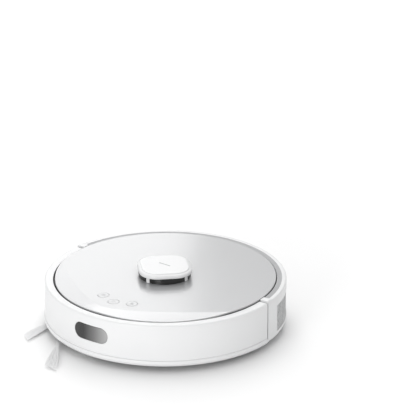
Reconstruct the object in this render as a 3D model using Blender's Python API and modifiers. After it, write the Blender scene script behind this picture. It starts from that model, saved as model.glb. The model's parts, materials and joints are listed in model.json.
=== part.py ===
"""Round robot vacuum: a low disc-shaped cleaner with a laser turret, side brush and rear dust bin.

Built in metres, +Z up, standing on the floor at z = 0. Forward is -Y and the robot's left is +X.
The pieces are laid out about the body's axis, and the whole robot is moved along Y at the end so
that the origin is the middle of its footprint, side brush included.
"""
import math

import bmesh
import bpy
from mathutils import Matrix, Vector

MM = 0.001

# Body
BODY_R = 170 * MM            # outer radius of the round body
WALL = 2.8 * MM              # thickness of the outer walls
FLOOR_GAP = 10 * MM          # underside above the floor
BASE_R = 158 * MM            # radius of the underside plate
BASE_TOP = 12.5 * MM         # upper face of the underside plate
TRAY_R = 156.5 * MM          # outer radius of the tray's upright wall
TRAY_TOP = 66.2 * MM
LEDGE_Z = 71 * MM            # top of the bumper
REAR_Z = 72 * MM             # top of the rear body
PLATE_R = 155.5 * MM         # radius of the top cover
PLATE_EDGE_Z = 73.4 * MM
DOME = 1.8 * MM              # rise of the top cover from its edge to the middle
GAP = 0.3 * MM               # air between pieces that meet

# Angles on the body run from forward towards the robot's left, in degrees
BUMPER_END = 93.5
REAR_START = 94.5
BRIDGE_END = 97.8
GRILLE = (103.6, 150.0)
GRILLE_Z = (18 * MM, 57 * MM)

# Front window
WINDOW_HALF = 28.6 * MM
WINDOW_Z = (33.5 * MM, 57 * MM)

# Buttons on the top cover: name, angle from forward, distance from the axis
BUTTONS = (("home_button", -13.0, 111.3 * MM),
           ("power_button", 0.0, 117.7 * MM),
           ("spot_button", 13.0, 111.3 * MM))
BUTTON_R = 8 * MM

# Laser turret
TURRET_TUBE_R = 33.3 * MM
TURRET_WINDOW_R = 37 * MM
TURRET_WINDOW_Z = (75.5 * MM, 83.7 * MM)
TURRET_AHEAD = 2 * MM         # the lid and its window sit this far ahead of the axis
CAP_HALF = 37.5 * MM
CAP_TOP = 91 * MM

# Brushes
SIDE_HUB = Vector((-52.4 * MM, -114.4 * MM, 0))
SIDE_ARMS = 5
SIDE_ARM_START = -140.9      # direction of the first arm, from +X
SIDE_ARM = 26 * MM           # reach of the stiff arms from the brush's axis
TUFT_LENGTH = 104 * MM
# Each pair is a bristle tuft at its root and at its tip
TUFT_WIDTH = (4.6 * MM, 23 * MM)
TUFT_THICK = (2.6 * MM, 1.6 * MM)
TUFT_Z = (5.6 * MM, 3.2 * MM)
TUFT_SKEW = -36.0            # the tips are trimmed aslant by this much
# How each tuft has set: how far it turns, the share of its length where the turn is done, and
# the share where it begins to fan out
TUFT_SETS = ((82.7, 0.13, 0.36), (100, 0.3, 0.3), (120, 0.2, 0.3), (75, 0.3, 0.3), (122.6, 0.62, 0.1))
TUFT_ROWS = 24
ROLLER_Y = 5 * MM
ROLLER_Z = 19 * MM
ROLLER_R = 18 * MM
ROLLER_HALF = 70 * MM
GROOVES = (-36 * MM, 0.0, 36 * MM)

# Wheels
WHEEL_X = 118 * MM
WHEEL_Y = 20 * MM
WHEEL_R = 32 * MM
WHEEL_HALF = 9 * MM
TREADS = 12
PIVOT_Y = -30 * MM
PIVOT_Z = 38 * MM
WELL_X = (81.5 * MM, 130.5 * MM)
WELL_Y = (-42 * MM, 55 * MM)
CASTER = Vector((0, -98 * MM, 0))
CASTER_R = 15 * MM
CASTER_WHEEL_R = 10 * MM
CASTER_TRAIL = 3 * MM

# Dust bin
BIN_HALF = 62 * MM
BIN_FRONT = 66 * MM
BIN_BACK = 146 * MM          # back of the dirt space
BIN_Z = (13.5 * MM, 63 * MM)
EVAC = (20 * MM, 48 * MM)    # width span of the emptying port
EVAC_Z = (22 * MM, 44 * MM)

FINISHES = {
    "white_plastic": ((0.86, 0.87, 0.88), 0.35, 0.0),
    "pearl_cover": ((0.72, 0.74, 0.76), 0.28, 0.25),
    "black_window": ((0.012, 0.012, 0.014), 0.08, 0.0),
    "dark_plastic": ((0.035, 0.036, 0.04), 0.5, 0.0),
    "grey_plastic": ((0.32, 0.33, 0.35), 0.45, 0.0),
    "rubber": ((0.02, 0.02, 0.022), 0.85, 0.0),
    "bristle": ((0.62, 0.63, 0.64), 0.6, 0.0),
    "steel": ((0.62, 0.62, 0.63), 0.3, 1.0),
    "battery_wrap": ((0.04, 0.11, 0.32), 0.4, 0.0),
    "circuit_board": ((0.02, 0.16, 0.07), 0.4, 0.0),
    "filter_paper": ((0.78, 0.78, 0.74), 0.9, 0.0),
}


def collection(name):
    group = bpy.data.collections.new(name)
    bpy.context.scene.collection.children.link(group)
    return group


def clear_scene():
    for obj in list(bpy.data.objects):
        bpy.data.objects.remove(obj, do_unlink=True)


clear_scene()
PARTS = collection("robot_vacuum")
CUTTERS = collection("cutters")
MATERIALS = {}


def finish(name):
    """The Principled material of one finish, made once."""
    if name not in MATERIALS:
        colour, roughness, metallic = FINISHES[name]
        material = bpy.data.materials.new(name)
        material.use_nodes = True
        shader = material.node_tree.nodes["Principled BSDF"]
        shader.inputs["Base Color"].default_value = (*colour, 1.0)
        shader.inputs["Roughness"].default_value = roughness
        shader.inputs["Metallic"].default_value = metallic
        material.diffuse_color = (*colour, 1.0)
        MATERIALS[name] = material
    return MATERIALS[name]


def make(name, bm, material=None, origin=(0, 0, 0)):
    """Turn a bmesh into an object; without a material it is a cutter or an added shape."""
    bmesh.ops.recalc_face_normals(bm, faces=bm.faces)
    bmesh.ops.translate(bm, verts=bm.verts, vec=-Vector(origin))
    mesh = bpy.data.meshes.new(name)
    bm.to_mesh(mesh)
    bm.free()
    obj = bpy.data.objects.new(name, mesh)
    obj.location = origin
    if material:
        PARTS.objects.link(obj)
        mesh.materials.append(finish(material))
    else:
        CUTTERS.objects.link(obj)
        obj.hide_render = True
        obj.display_type = "WIRE"
    return obj


def boolean(obj, other, operation="DIFFERENCE"):
    step = obj.modifiers.new(other.name, "BOOLEAN")
    step.operation = operation
    step.solver = "EXACT"
    step.object = other


def cut(obj, *cutters):
    for cutter in cutters:
        boolean(obj, cutter)


def join(obj, *others):
    for other in others:
        boolean(obj, other, "UNION")


def soften(obj, width, segments=2, angle=40):
    """Round the sharp edges of a piece."""
    step = obj.modifiers.new("bevel", "BEVEL")
    step.width = width
    step.segments = segments
    step.limit_method = "ANGLE"
    step.angle_limit = math.radians(angle)


def smooth(obj, angle=35):
    obj.data.shade_smooth()
    obj.data.set_sharp_from_angle(angle=math.radians(angle))


def heading(angle, radius, z=0.0):
    """The point at an angle from forward and a distance from the body's axis."""
    turn = math.radians(angle)
    return Vector((radius * math.sin(turn), -radius * math.cos(turn), z))


def turned(name, profile, material=None, arc=None, steps=90, closed=True, centre=(0, 0)):
    """Revolve an outline of (radius, height) about a vertical axis with a Screw modifier.

    An arc runs between two headings, and its two ends are closed with flat faces.
    """
    mesh = bpy.data.meshes.new(name)
    count = len(profile)
    edges = [(i, (i + 1) % count) for i in range(count if closed else count - 1)]
    mesh.from_pydata([(r, 0, z) for r, z in profile], edges, [])
    guide = bpy.data.objects.new(name + "_profile", mesh)
    CUTTERS.objects.link(guide)
    screw = guide.modifiers.new("screw", "SCREW")
    screw.angle = math.radians(arc[1] - arc[0]) if arc else math.tau
    screw.steps = screw.render_steps = steps
    screw.use_merge_vertices = arc is None
    screw.merge_threshold = 0.00001
    depsgraph = bpy.context.evaluated_depsgraph_get()
    revolved = bpy.data.meshes.new_from_object(guide.evaluated_get(depsgraph))
    bpy.data.objects.remove(guide)
    bm = bmesh.new()
    bm.from_mesh(revolved)
    bpy.data.meshes.remove(revolved)
    bmesh.ops.remove_doubles(bm, verts=bm.verts, dist=0.00001)
    if arc:
        bmesh.ops.holes_fill(bm, edges=[e for e in bm.edges if e.is_boundary])
        bmesh.ops.rotate(bm, verts=bm.verts, cent=(0, 0, 0),
                         matrix=Matrix.Rotation(math.radians(arc[0] - 90), 3, "Z"))
    bmesh.ops.translate(bm, verts=bm.verts, vec=(*centre, 0))
    obj = make(name, bm, material)
    smooth(obj)
    return obj


def box(name, low, high, material=None, turn=0.0, centre=None):
    """A block between two corners, which may be turned about Z round a centre."""
    bm = bmesh.new()
    size = Vector(high) - Vector(low)
    middle = (Vector(high) + Vector(low)) / 2
    bmesh.ops.create_cube(bm, size=1.0)
    bmesh.ops.scale(bm, verts=bm.verts, vec=size)
    bmesh.ops.rotate(bm, verts=bm.verts, cent=(0, 0, 0),
                     matrix=Matrix.Rotation(math.radians(turn), 3, "Z"))
    bmesh.ops.translate(bm, verts=bm.verts, vec=middle if centre is None else centre)
    return make(name, bm, material)


def rod(name, start, end, radius, material=None, far_radius=None, segments=32, squash=1.0):
    """A round bar or cone between two points; squash flattens it in its own Y."""
    start, end = Vector(start), Vector(end)
    along = end - start
    bm = bmesh.new()
    bmesh.ops.create_cone(bm, cap_ends=True, segments=segments, radius1=radius,
                          radius2=radius if far_radius is None else far_radius,
                          depth=along.length)
    bmesh.ops.scale(bm, verts=bm.verts, vec=(1, squash, 1))
    bmesh.ops.rotate(bm, verts=bm.verts, cent=(0, 0, 0),
                     matrix=along.to_track_quat("Z", "Y").to_matrix())
    bmesh.ops.translate(bm, verts=bm.verts, vec=(start + end) / 2)
    obj = make(name, bm, material)
    smooth(obj)
    return obj


def prism(name, outline, low, high, material=None, axis="Z"):
    """A flat outline extruded along an axis; along X the outline is (y, z), along Y (x, z)."""
    place = {"Z": lambda a, b, c: (a, b, c),
             "X": lambda a, b, c: (c, a, b),
             "Y": lambda a, b, c: (a, c, b)}[axis]
    bm = bmesh.new()
    face = bm.faces.new([bm.verts.new(place(a, b, low)) for a, b in outline])
    grown = bmesh.ops.extrude_face_region(bm, geom=[face])["geom"]
    offset = Vector(place(0, 0, high - low))
    bmesh.ops.translate(bm, vec=offset,
                        verts=[g for g in grown if isinstance(g, bmesh.types.BMVert)])
    obj = make(name, bm, material)
    smooth(obj)
    return obj


def arc_points(centre, radius, start, end, count):
    """Points on an arc, angles in degrees."""
    points = []
    for i in range(count + 1):
        turn = math.radians(start + (end - start) * i / count)
        points.append((centre[0] + radius * math.cos(turn),
                       centre[1] + radius * math.sin(turn)))
    return points


def rounded_box(half_a, half_b, radius, count=5, centre=(0, 0)):
    """The outline of a rectangle with round corners."""
    points = []
    for corner, (sa, sb) in enumerate(((1, 1), (-1, 1), (-1, -1), (1, -1))):
        middle = (centre[0] + sa * (half_a - radius), centre[1] + sb * (half_b - radius))
        points += arc_points(middle, radius, corner * 90, corner * 90 + 90, count)
    return points


def link_outline(first, first_r, second, second_r, count=8):
    """Two round ends joined by straight tangent sides."""
    along = Vector(second) - Vector(first)
    heading_angle = math.degrees(math.atan2(along.y, along.x))
    spread = math.degrees(math.acos((first_r - second_r) / along.length))
    return (arc_points(first, first_r, heading_angle + spread,
                       heading_angle + 360 - spread, count)
            + arc_points(second, second_r, heading_angle - spread,
                         heading_angle + spread, count))


# ---------------------------------------------------------------- outer shells

def chassis_base():
    """Underside plate, open where the running gear comes through."""
    base = turned("chassis_base",
                  [(0, BASE_TOP), (TRAY_R, BASE_TOP), (BASE_R, BASE_TOP - 0.5 * MM),
                   (BASE_R, FLOOR_GAP + 1 * MM), (BASE_R - 1 * MM, FLOOR_GAP), (0, FLOOR_GAP)],
                  "dark_plastic", closed=False, steps=50)
    for side in (-1, 1):
        x = sorted((side * WELL_X[0], side * WELL_X[1]))
        cut(base, box("cut_well", (x[0], WELL_Y[0], 0), (x[1], WELL_Y[1], 20 * MM)))
    cut(base,
        box("cut_brush", (-78.5 * MM, -20 * MM, 0), (78.5 * MM, 30 * MM, 20 * MM)),
        rod("cut_caster", CASTER, CASTER + Vector((0, 0, 20 * MM)), CASTER_R + 0.5 * MM),
        rod("cut_side_shaft", SIDE_HUB, SIDE_HUB + Vector((0, 0, 20 * MM)), 6.5 * MM),
        box("cut_battery", (-70 * MM, -77 * MM, 0), (70 * MM, -54 * MM, 20 * MM)))
    for name, centre, half in small_windows():
        cut(base, box("cut_" + name, (-half.x, -half.y, -8 * MM), (half.x, half.y, 8 * MM),
                      centre=(centre.x, centre.y, BASE_TOP)))
    tray = turned("tray_wall",
                  [(TRAY_R - 3 * MM, TRAY_TOP), (TRAY_R, TRAY_TOP), (TRAY_R, BASE_TOP + GAP),
                   (TRAY_R - 3 * MM, BASE_TOP + GAP)], "dark_plastic", steps=50)
    cut(tray, box("cut_bin_way", (-BIN_HALF - 0.7 * MM, 130 * MM, 0),
                  (BIN_HALF + 0.7 * MM, 165 * MM, 80 * MM)))


def small_windows():
    """Plates let into the underside: name, centre and half size."""
    found = []
    for i, angle in enumerate((-48, 48, -82, 82)):
        found.append((f"cliff_window_{i + 1}", heading(angle, 143 * MM),
                      Vector((7.3 * MM, 5.3 * MM, 0))))
    for name, side in (("left", 1), ("right", -1)):
        found.append((f"charge_contact_{name}", Vector((side * 34 * MM, 128 * MM, 0)),
                      Vector((12.3 * MM, 6.3 * MM, 0))))
    return found


def underside_plates():
    for name, centre, half in small_windows():
        contact = name.startswith("charge")
        low = FLOOR_GAP - (0.4 * MM if contact else 0)
        inner = Vector((half.x - GAP, half.y - GAP, 0))
        plate = box(name, (centre.x - inner.x, centre.y - inner.y, low),
                    (centre.x + inner.x, centre.y + inner.y, BASE_TOP),
                    "steel" if contact else "black_window")
        soften(plate, 0.4 * MM, 1)
    door = box("battery_door", (-69.7 * MM, -76.7 * MM, FLOOR_GAP),
               (69.7 * MM, -54.3 * MM, BASE_TOP), "dark_plastic")
    soften(door, 0.5 * MM, 1)


def bumper():
    """Front wall that slides back when it is pushed."""
    fillet = arc_points((BODY_R - 3 * MM, LEDGE_Z - 3 * MM), 3 * MM, 90, 0, 2)
    profile = [(158.5 * MM, LEDGE_Z), *fillet,
               (BODY_R, 19 * MM), (BODY_R - 0.7 * MM, 18.5 * MM), (BODY_R + 0.8 * MM, 17.8 * MM),
               (BODY_R + 1.5 * MM, 14 * MM),
               (BODY_R - 1 * MM, FLOOR_GAP), (163 * MM, FLOOR_GAP), (163 * MM, 12.4 * MM),
               (BODY_R - WALL, 13 * MM), (BODY_R - WALL, LEDGE_Z - WALL),
               (158.5 * MM, LEDGE_Z - WALL)]
    shell = turned("bumper", profile, "white_plastic", (-BUMPER_END, BUMPER_END), 36)
    middle = (WINDOW_Z[0] + WINDOW_Z[1]) / 2
    half = (WINDOW_Z[1] - WINDOW_Z[0]) / 2
    hole = rounded_box(WINDOW_HALF, half, half - 0.2 * MM, 6, (0, middle))
    cut(shell, prism("cut_window", hole, -180 * MM, -150 * MM, axis="Y"))
    pane_outline = rounded_box(WINDOW_HALF - GAP, half - GAP, half - GAP - 0.2 * MM, 6, (0, middle))
    band = [(BODY_R + 0.1 * MM, WINDOW_Z[1] + 2 * MM), (BODY_R + 0.1 * MM, WINDOW_Z[0] - 2 * MM),
            (BODY_R - WALL, WINDOW_Z[0] - 2 * MM), (BODY_R - WALL, WINDOW_Z[1] + 2 * MM)]
    pane = turned("bumper_window", band, "black_window", (-12, 12), 12)
    boolean(pane, prism("window_shape", pane_outline, -180 * MM, -150 * MM, axis="Y"),
            "INTERSECT")


def rear_body():
    """Rear wall with its top ledge, side grilles and the way out for the dust bin."""
    fillet = arc_points((BODY_R - 3 * MM, REAR_Z - 3 * MM), 3 * MM, 90, 0, 2)
    profile = [(156.5 * MM, REAR_Z), *fillet, (BODY_R, 14 * MM), (BODY_R - 2.5 * MM, FLOOR_GAP),
               (158.4 * MM, FLOOR_GAP), (158.4 * MM, BASE_TOP), (BODY_R - WALL, 13.5 * MM),
               (BODY_R - WALL, REAR_Z - WALL), (156.5 * MM, REAR_Z - WALL)]
    shell = turned("rear_body", profile, "white_plastic", (REAR_START, 360 - REAR_START), 32)
    raised = [(156.4 * MM, PLATE_EDGE_Z), (BODY_R - 2.6 * MM, PLATE_EDGE_Z),
              (BODY_R - 0.4 * MM, PLATE_EDGE_Z - 2.4 * MM), (BODY_R - 0.6 * MM, REAR_Z - 5 * MM),
              (BODY_R - 3.2 * MM, REAR_Z - 5 * MM), (BODY_R - 3.2 * MM, REAR_Z - 3.2 * MM),
              (156.4 * MM, REAR_Z - 3.2 * MM)]
    slot = [(BODY_R + 3 * MM, GRILLE_Z[1]), (BODY_R + 3 * MM, GRILLE_Z[0]),
            (BODY_R - 8 * MM, GRILLE_Z[0]), (BODY_R - 8 * MM, GRILLE_Z[1])]
    panel = [(BODY_R - 1.1 * MM, GRILLE_Z[1] - GAP), (BODY_R - 1.1 * MM, GRILLE_Z[0] + GAP),
             (BODY_R - WALL, GRILLE_Z[0] + GAP), (BODY_R - WALL, GRILLE_Z[1] - GAP)]
    for name, side in (("left", 1), ("right", -1)):
        join(shell, turned("bridge_" + name, raised, None,
                           on_side(side, REAR_START + 0.05, BRIDGE_END), 4))
        cut(shell, turned("grille_way_" + name, slot, None, on_side(side, *GRILLE), 14))
        grille = turned("side_grille_" + name, panel, "grey_plastic",
                        on_side(side, GRILLE[0] + 0.12, GRILLE[1] - 0.12), 14)
        for i in range(7):
            angle = side * (GRILLE[0] + 6 + i * 5.7)
            where = heading(angle, BODY_R, sum(GRILLE_Z) / 2)
            cut(grille, box("vent_slot", (-5 * MM, -0.9 * MM, -14 * MM),
                            (5 * MM, 0.9 * MM, 14 * MM), turn=angle + 90, centre=where))
    cut(shell, box("bin_way", (-BIN_HALF - 0.5 * MM, 120 * MM, BIN_Z[0] - 0.6 * MM),
                   (BIN_HALF + 0.5 * MM, 180 * MM, 66.4 * MM)))


def on_side(side, start, end):
    """A span of headings on the left (1), or its mirror image on the right (-1)."""
    return (start, end) if side > 0 else (360 - end, 360 - start)


def top_height(radius):
    """Height of the domed top cover at a distance from the axis."""
    return PLATE_EDGE_Z + DOME * (1 - (radius / PLATE_R) ** 2)


def top_cover():
    profile = [(r * MM, top_height(r * MM)) for r in (34, 95, 153)]
    profile += [(PLATE_R - 0.6 * MM, PLATE_EDGE_Z - 0.3 * MM), (PLATE_R, PLATE_EDGE_Z - 1.1 * MM),
                (PLATE_R, 66.5 * MM), (PLATE_R - 2.6 * MM, 66.5 * MM),
                (PLATE_R - 2.6 * MM, PLATE_EDGE_Z - 3 * MM), (34 * MM, PLATE_EDGE_Z - 1.2 * MM)]
    cover = turned("top_cover", profile, "pearl_cover", steps=48)
    for name, angle, radius in BUTTONS:
        foot = heading(angle, radius, 60 * MM)
        cut(cover, rod("hole_" + name, foot, foot + Vector((0, 0, 30 * MM)),
                       BUTTON_R + 0.35 * MM))
        top = top_height(radius) + 0.25 * MM
        button = turned(name, [(0, top), (BUTTON_R - 0.8 * MM, top),
                               (BUTTON_R, top - 0.6 * MM), (BUTTON_R, 68.5 * MM), (0, 68.5 * MM)],
                        "pearl_cover", steps=20, closed=False, centre=foot.xy)
        set_origin(button, foot)


def set_origin(obj, point):
    """Move an object's origin without moving its shape."""
    offset = Vector(point) - obj.location
    obj.data.transform(Matrix.Translation(-offset))
    obj.location = point


# ---------------------------------------------------------------- laser turret

def turret():
    turned("turret_base",
           [(30 * MM, 76 * MM), (TURRET_TUBE_R - 0.3 * MM, 76 * MM),
            (TURRET_TUBE_R, 75.7 * MM), (TURRET_TUBE_R, 58.5 * MM), (30 * MM, 58.5 * MM)],
           "white_plastic", steps=36)
    low, high = TURRET_WINDOW_Z
    turned("turret_window",
           [(TURRET_WINDOW_R, high), (TURRET_WINDOW_R, low),
            (TURRET_WINDOW_R - 1.4 * MM, low), (TURRET_WINDOW_R - 1.4 * MM, high)],
           "black_window", steps=36, centre=(0, -TURRET_AHEAD))
    cap = prism("turret_cap", rounded_box(CAP_HALF, CAP_HALF, 26.5 * MM, 5), high + GAP,
                CAP_TOP - 2.4 * MM, "white_plastic")
    soften(cap, 1.1 * MM, 1)
    join(cap, prism("cap_crown", rounded_box(33 * MM, 33 * MM, 23 * MM, 5),
                    CAP_TOP - 4 * MM, CAP_TOP))
    for obj in (cap, bpy.data.objects["cap_crown"]):
        obj.data.transform(Matrix.Rotation(math.radians(45), 4, "Z"))
        obj.data.transform(Matrix.Translation((0, -TURRET_AHEAD, 0)))
    for angle in range(0, 360, 90):
        foot = heading(angle, TURRET_WINDOW_R + MM)
        join(cap, box(f"turret_post_{angle}", (-3.1 * MM, -0.65 * MM, 0),
                      (3.1 * MM, 0.65 * MM, 10.5 * MM), turn=angle,
                      centre=(foot.x, foot.y - TURRET_AHEAD, low + 5.25 * MM)))
    rotor = turned("lidar_rotor",
                   [(0, 65 * MM), (27 * MM, 65 * MM), (27 * MM, 61 * MM), (0, 61 * MM)],
                   "dark_plastic", steps=28, closed=False)
    join(rotor, box("lidar_head", (-20 * MM, -12 * MM, 64 * MM), (20 * MM, 12 * MM, 82 * MM)),
         rod("lidar_eye_emit", (-11 * MM, -6 * MM, 75 * MM), (-11 * MM, -16 * MM, 75 * MM),
             4.5 * MM, segments=20),
         rod("lidar_eye_receive", (9 * MM, -6 * MM, 75 * MM), (9 * MM, -17 * MM, 75 * MM),
             6.5 * MM, segments=20))
    turned("lidar_motor", [(0, 60.5 * MM), (12 * MM, 60.5 * MM), (12 * MM, 56 * MM), (0, 56 * MM)],
           "steel", steps=28, closed=False)


# ---------------------------------------------------------------- brushes

def tuft_path(start, direction, turn, bent_by):
    """Middle line of a bristle tuft: points with the direction at each, angles in radians."""
    point, line = Vector(start), []
    for i in range(TUFT_ROWS + 1):
        now = direction + turn * min(1, i / TUFT_ROWS / bent_by)
        line.append((point.copy(), now))
        point += Vector((math.cos(now), math.sin(now))) * TUFT_LENGTH / TUFT_ROWS
    return line


def tuft(name, line, fan_from):
    """Flat tuft of bristles that fans out and thins towards its tip."""
    bm = bmesh.new()
    rows = []
    for i, (point, direction) in enumerate(line):
        share = i / TUFT_ROWS
        spread = max(0, share - fan_from) / (1 - fan_from)
        width = TUFT_WIDTH[0] + (TUFT_WIDTH[1] - TUFT_WIDTH[0]) * spread
        thick, height = (root + (tip - root) * share for root, tip in (TUFT_THICK, TUFT_Z))
        slant = direction + math.radians(TUFT_SKEW) * spread
        side = Vector((-math.sin(slant), math.cos(slant))) * width / 2
        rows.append([bm.verts.new((point.x + side.x * a, point.y + side.y * a,
                                   height + thick / 2 * b))
                     for a, b in ((1, 1), (-1, 1), (-1, -1), (1, -1))])
    for first, second in zip(rows, rows[1:]):
        wall_between(bm, first, second)
    bm.faces.new(rows[0])
    bm.faces.new(rows[-1])
    return make(name, bm, "bristle")


def side_brush():
    top, low = 9.4 * MM, 4.6 * MM
    hub = turned("side_brush_hub",
                 [(0, 15 * MM), (5.6 * MM, 15 * MM), (5.6 * MM, top), (11.5 * MM, top),
                  (13 * MM, top - 1 * MM), (13 * MM, low + 1.5 * MM), (10.5 * MM, low), (0, low)],
                 "white_plastic", steps=20, closed=False, centre=SIDE_HUB.xy)
    set_origin(hub, SIDE_HUB)
    for i, (turn, bent_by, fan_from) in enumerate(TUFT_SETS):
        direction = math.radians(SIDE_ARM_START + i * 360 / SIDE_ARMS)
        out = Vector((math.cos(direction), math.sin(direction), 0))
        lift = Vector((0, 0, TUFT_Z[0] + 0.3 * MM))
        join(hub, rod(f"arm_{i + 1}", SIDE_HUB + out * 8 * MM + lift,
                      SIDE_HUB + out * SIDE_ARM + lift, 2.4 * MM, far_radius=2.0 * MM, segments=8))
        root = SIDE_HUB.xy + out.xy * (SIDE_ARM + 0.4 * MM)
        line = tuft_path(root, direction, math.radians(turn), bent_by)
        set_origin(tuft(f"side_brush_bristle_{i + 1}", line, fan_from), SIDE_HUB)
    turned("side_brush_motor",
           [(0, 40 * MM), (13 * MM, 40 * MM), (13 * MM, 15.5 * MM), (0, 15.5 * MM)],
           "steel", steps=28, closed=False, centre=SIDE_HUB.xy)


def roller_loop(bm, x, twist, points):
    """Vertices round the roller's axis at x, from distances and angles in degrees."""
    return [bm.verts.new((x, ROLLER_Y + r * math.cos(math.radians(a + twist)),
                          ROLLER_Z + r * math.sin(math.radians(a + twist)))) for r, a in points]


def wall_between(bm, first, second):
    """Faces between two rings of vertices."""
    for i in range(len(first)):
        j = (i + 1) % len(first)
        bm.faces.new((first[i], first[j], second[j], second[i]))


def roller_sleeve():
    """Soft sleeve with six fins that lean one way on each half of its length."""
    fins, steps, lean = 6, 8, 60.0
    root, bore = 12 * MM, 5.8 * MM
    shape = []
    for fin in range(fins):
        start = fin * 360 / fins
        shape += [(root, start), (root, start + 20), (ROLLER_R, start + 36), (ROLLER_R, start + 44)]
    bm = bmesh.new()
    loops = []
    for step in range(steps + 1):
        along = 2 * step / steps - 1
        loops.append(roller_loop(bm, along * ROLLER_HALF, lean * abs(along), shape))
    hollow = [(bore, a) for _, a in shape]
    inner = [roller_loop(bm, x, lean, hollow) for x in (-ROLLER_HALF, ROLLER_HALF)]
    for first, second in zip([inner[0], *loops, inner[1]], [*loops, inner[1], inner[0]]):
        wall_between(bm, first, second)
    sleeve = make("main_brush_sleeve", bm, "rubber", (0, ROLLER_Y, ROLLER_Z))
    for x in GROOVES:
        ring = turned("groove_cutter", [(20 * MM, x + 2.4 * MM), (20 * MM, x - 2.4 * MM),
                                        (14.4 * MM, x - 2.4 * MM), (14.4 * MM, x + 2.4 * MM)],
                      steps=24)
        ring.data.transform(Matrix.Translation((0, ROLLER_Y, ROLLER_Z))
                            @ Matrix.Rotation(math.radians(90), 4, "Y"))
        cut(sleeve, ring)


def main_brush():
    axis_point = (0, ROLLER_Y, ROLLER_Z)
    roller_sleeve()
    core = rod("main_brush_core", (-72.8 * MM, ROLLER_Y, ROLLER_Z),
               (72.8 * MM, ROLLER_Y, ROLLER_Z), 5.4 * MM, "grey_plastic", segments=20)
    set_origin(core, axis_point)
    for name, side in (("left", 1), ("right", -1)):
        bearing = rod("roller_bearing_" + name, (side * 70.4 * MM, ROLLER_Y, ROLLER_Z),
                      (side * 73.2 * MM, ROLLER_Y, ROLLER_Z), 9.5 * MM, "white_plastic",
                      segments=20)
        cut(bearing, rod("bearing_bore", (side * 65 * MM, ROLLER_Y, ROLLER_Z),
                         (side * 80 * MM, ROLLER_Y, ROLLER_Z), 5.8 * MM, segments=20))
    # Guard: a frame let into the underside, with three bars that run in the roller's grooves
    guard = box("brush_guard", (-78.2 * MM, -19.7 * MM, 9.4 * MM), (78.2 * MM, 29.7 * MM, 12.5 * MM),
                "grey_plastic")
    cut(guard, box("guard_way", (-74 * MM, -14 * MM, 0), (74 * MM, 24 * MM, 20 * MM)))
    bar = [(-15, 12), (-15, 9.6), (-9, 4), (-2, 2), (12, 2), (19, 4), (25, 9.6), (25, 12)]
    for i, x in enumerate(GROOVES):
        rail = prism(f"guard_bar_{i + 1}", [(y * MM, z * MM) for y, z in bar],
                     x - 1.5 * MM, x + 1.5 * MM, axis="X")
        cut(rail, rod("roller_way", (-90 * MM, ROLLER_Y, ROLLER_Z), (90 * MM, ROLLER_Y, ROLLER_Z),
                      15.1 * MM))
        join(guard, rail)
    # Chamber over the roller, with the duct that carries dirt to the bin
    arch = [(-19 * MM, 12.8 * MM), (-19 * MM, 26 * MM), (-13 * MM, 37 * MM), (-2 * MM, 42 * MM),
            (12 * MM, 42 * MM), (23 * MM, 37 * MM), (29 * MM, 26 * MM), (29 * MM, 12.8 * MM)]
    chamber = prism("brush_chamber", arch, -78 * MM, 78 * MM, "dark_plastic", axis="X")
    join(chamber, box("duct", (-27 * MM, 20 * MM, 22.5 * MM), (27 * MM, 65.6 * MM, 45.5 * MM)))
    cut(chamber,
        rod("roller_space", (-73.7 * MM, ROLLER_Y, ROLLER_Z), (73.7 * MM, ROLLER_Y, ROLLER_Z),
            19.4 * MM, segments=28),
        box("chamber_mouth", (-73.7 * MM, -14.2 * MM, 5 * MM), (73.7 * MM, 24.2 * MM, 19 * MM)),
        box("duct_way", (-25 * MM, 10 * MM, 25 * MM), (25 * MM, 70 * MM, 43 * MM)))
    motor = rod("main_brush_motor", (-75 * MM, -34.5 * MM, 34 * MM), (-25 * MM, -34.5 * MM, 34 * MM),
                13 * MM, "steel", segments=20)
    soften(motor, 0.8 * MM, 1)


# ---------------------------------------------------------------- wheels

def axle_point(x):
    """The point of the drive wheels' axle line at a distance to the side."""
    return Vector((x, WHEEL_Y, WHEEL_R))


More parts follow.
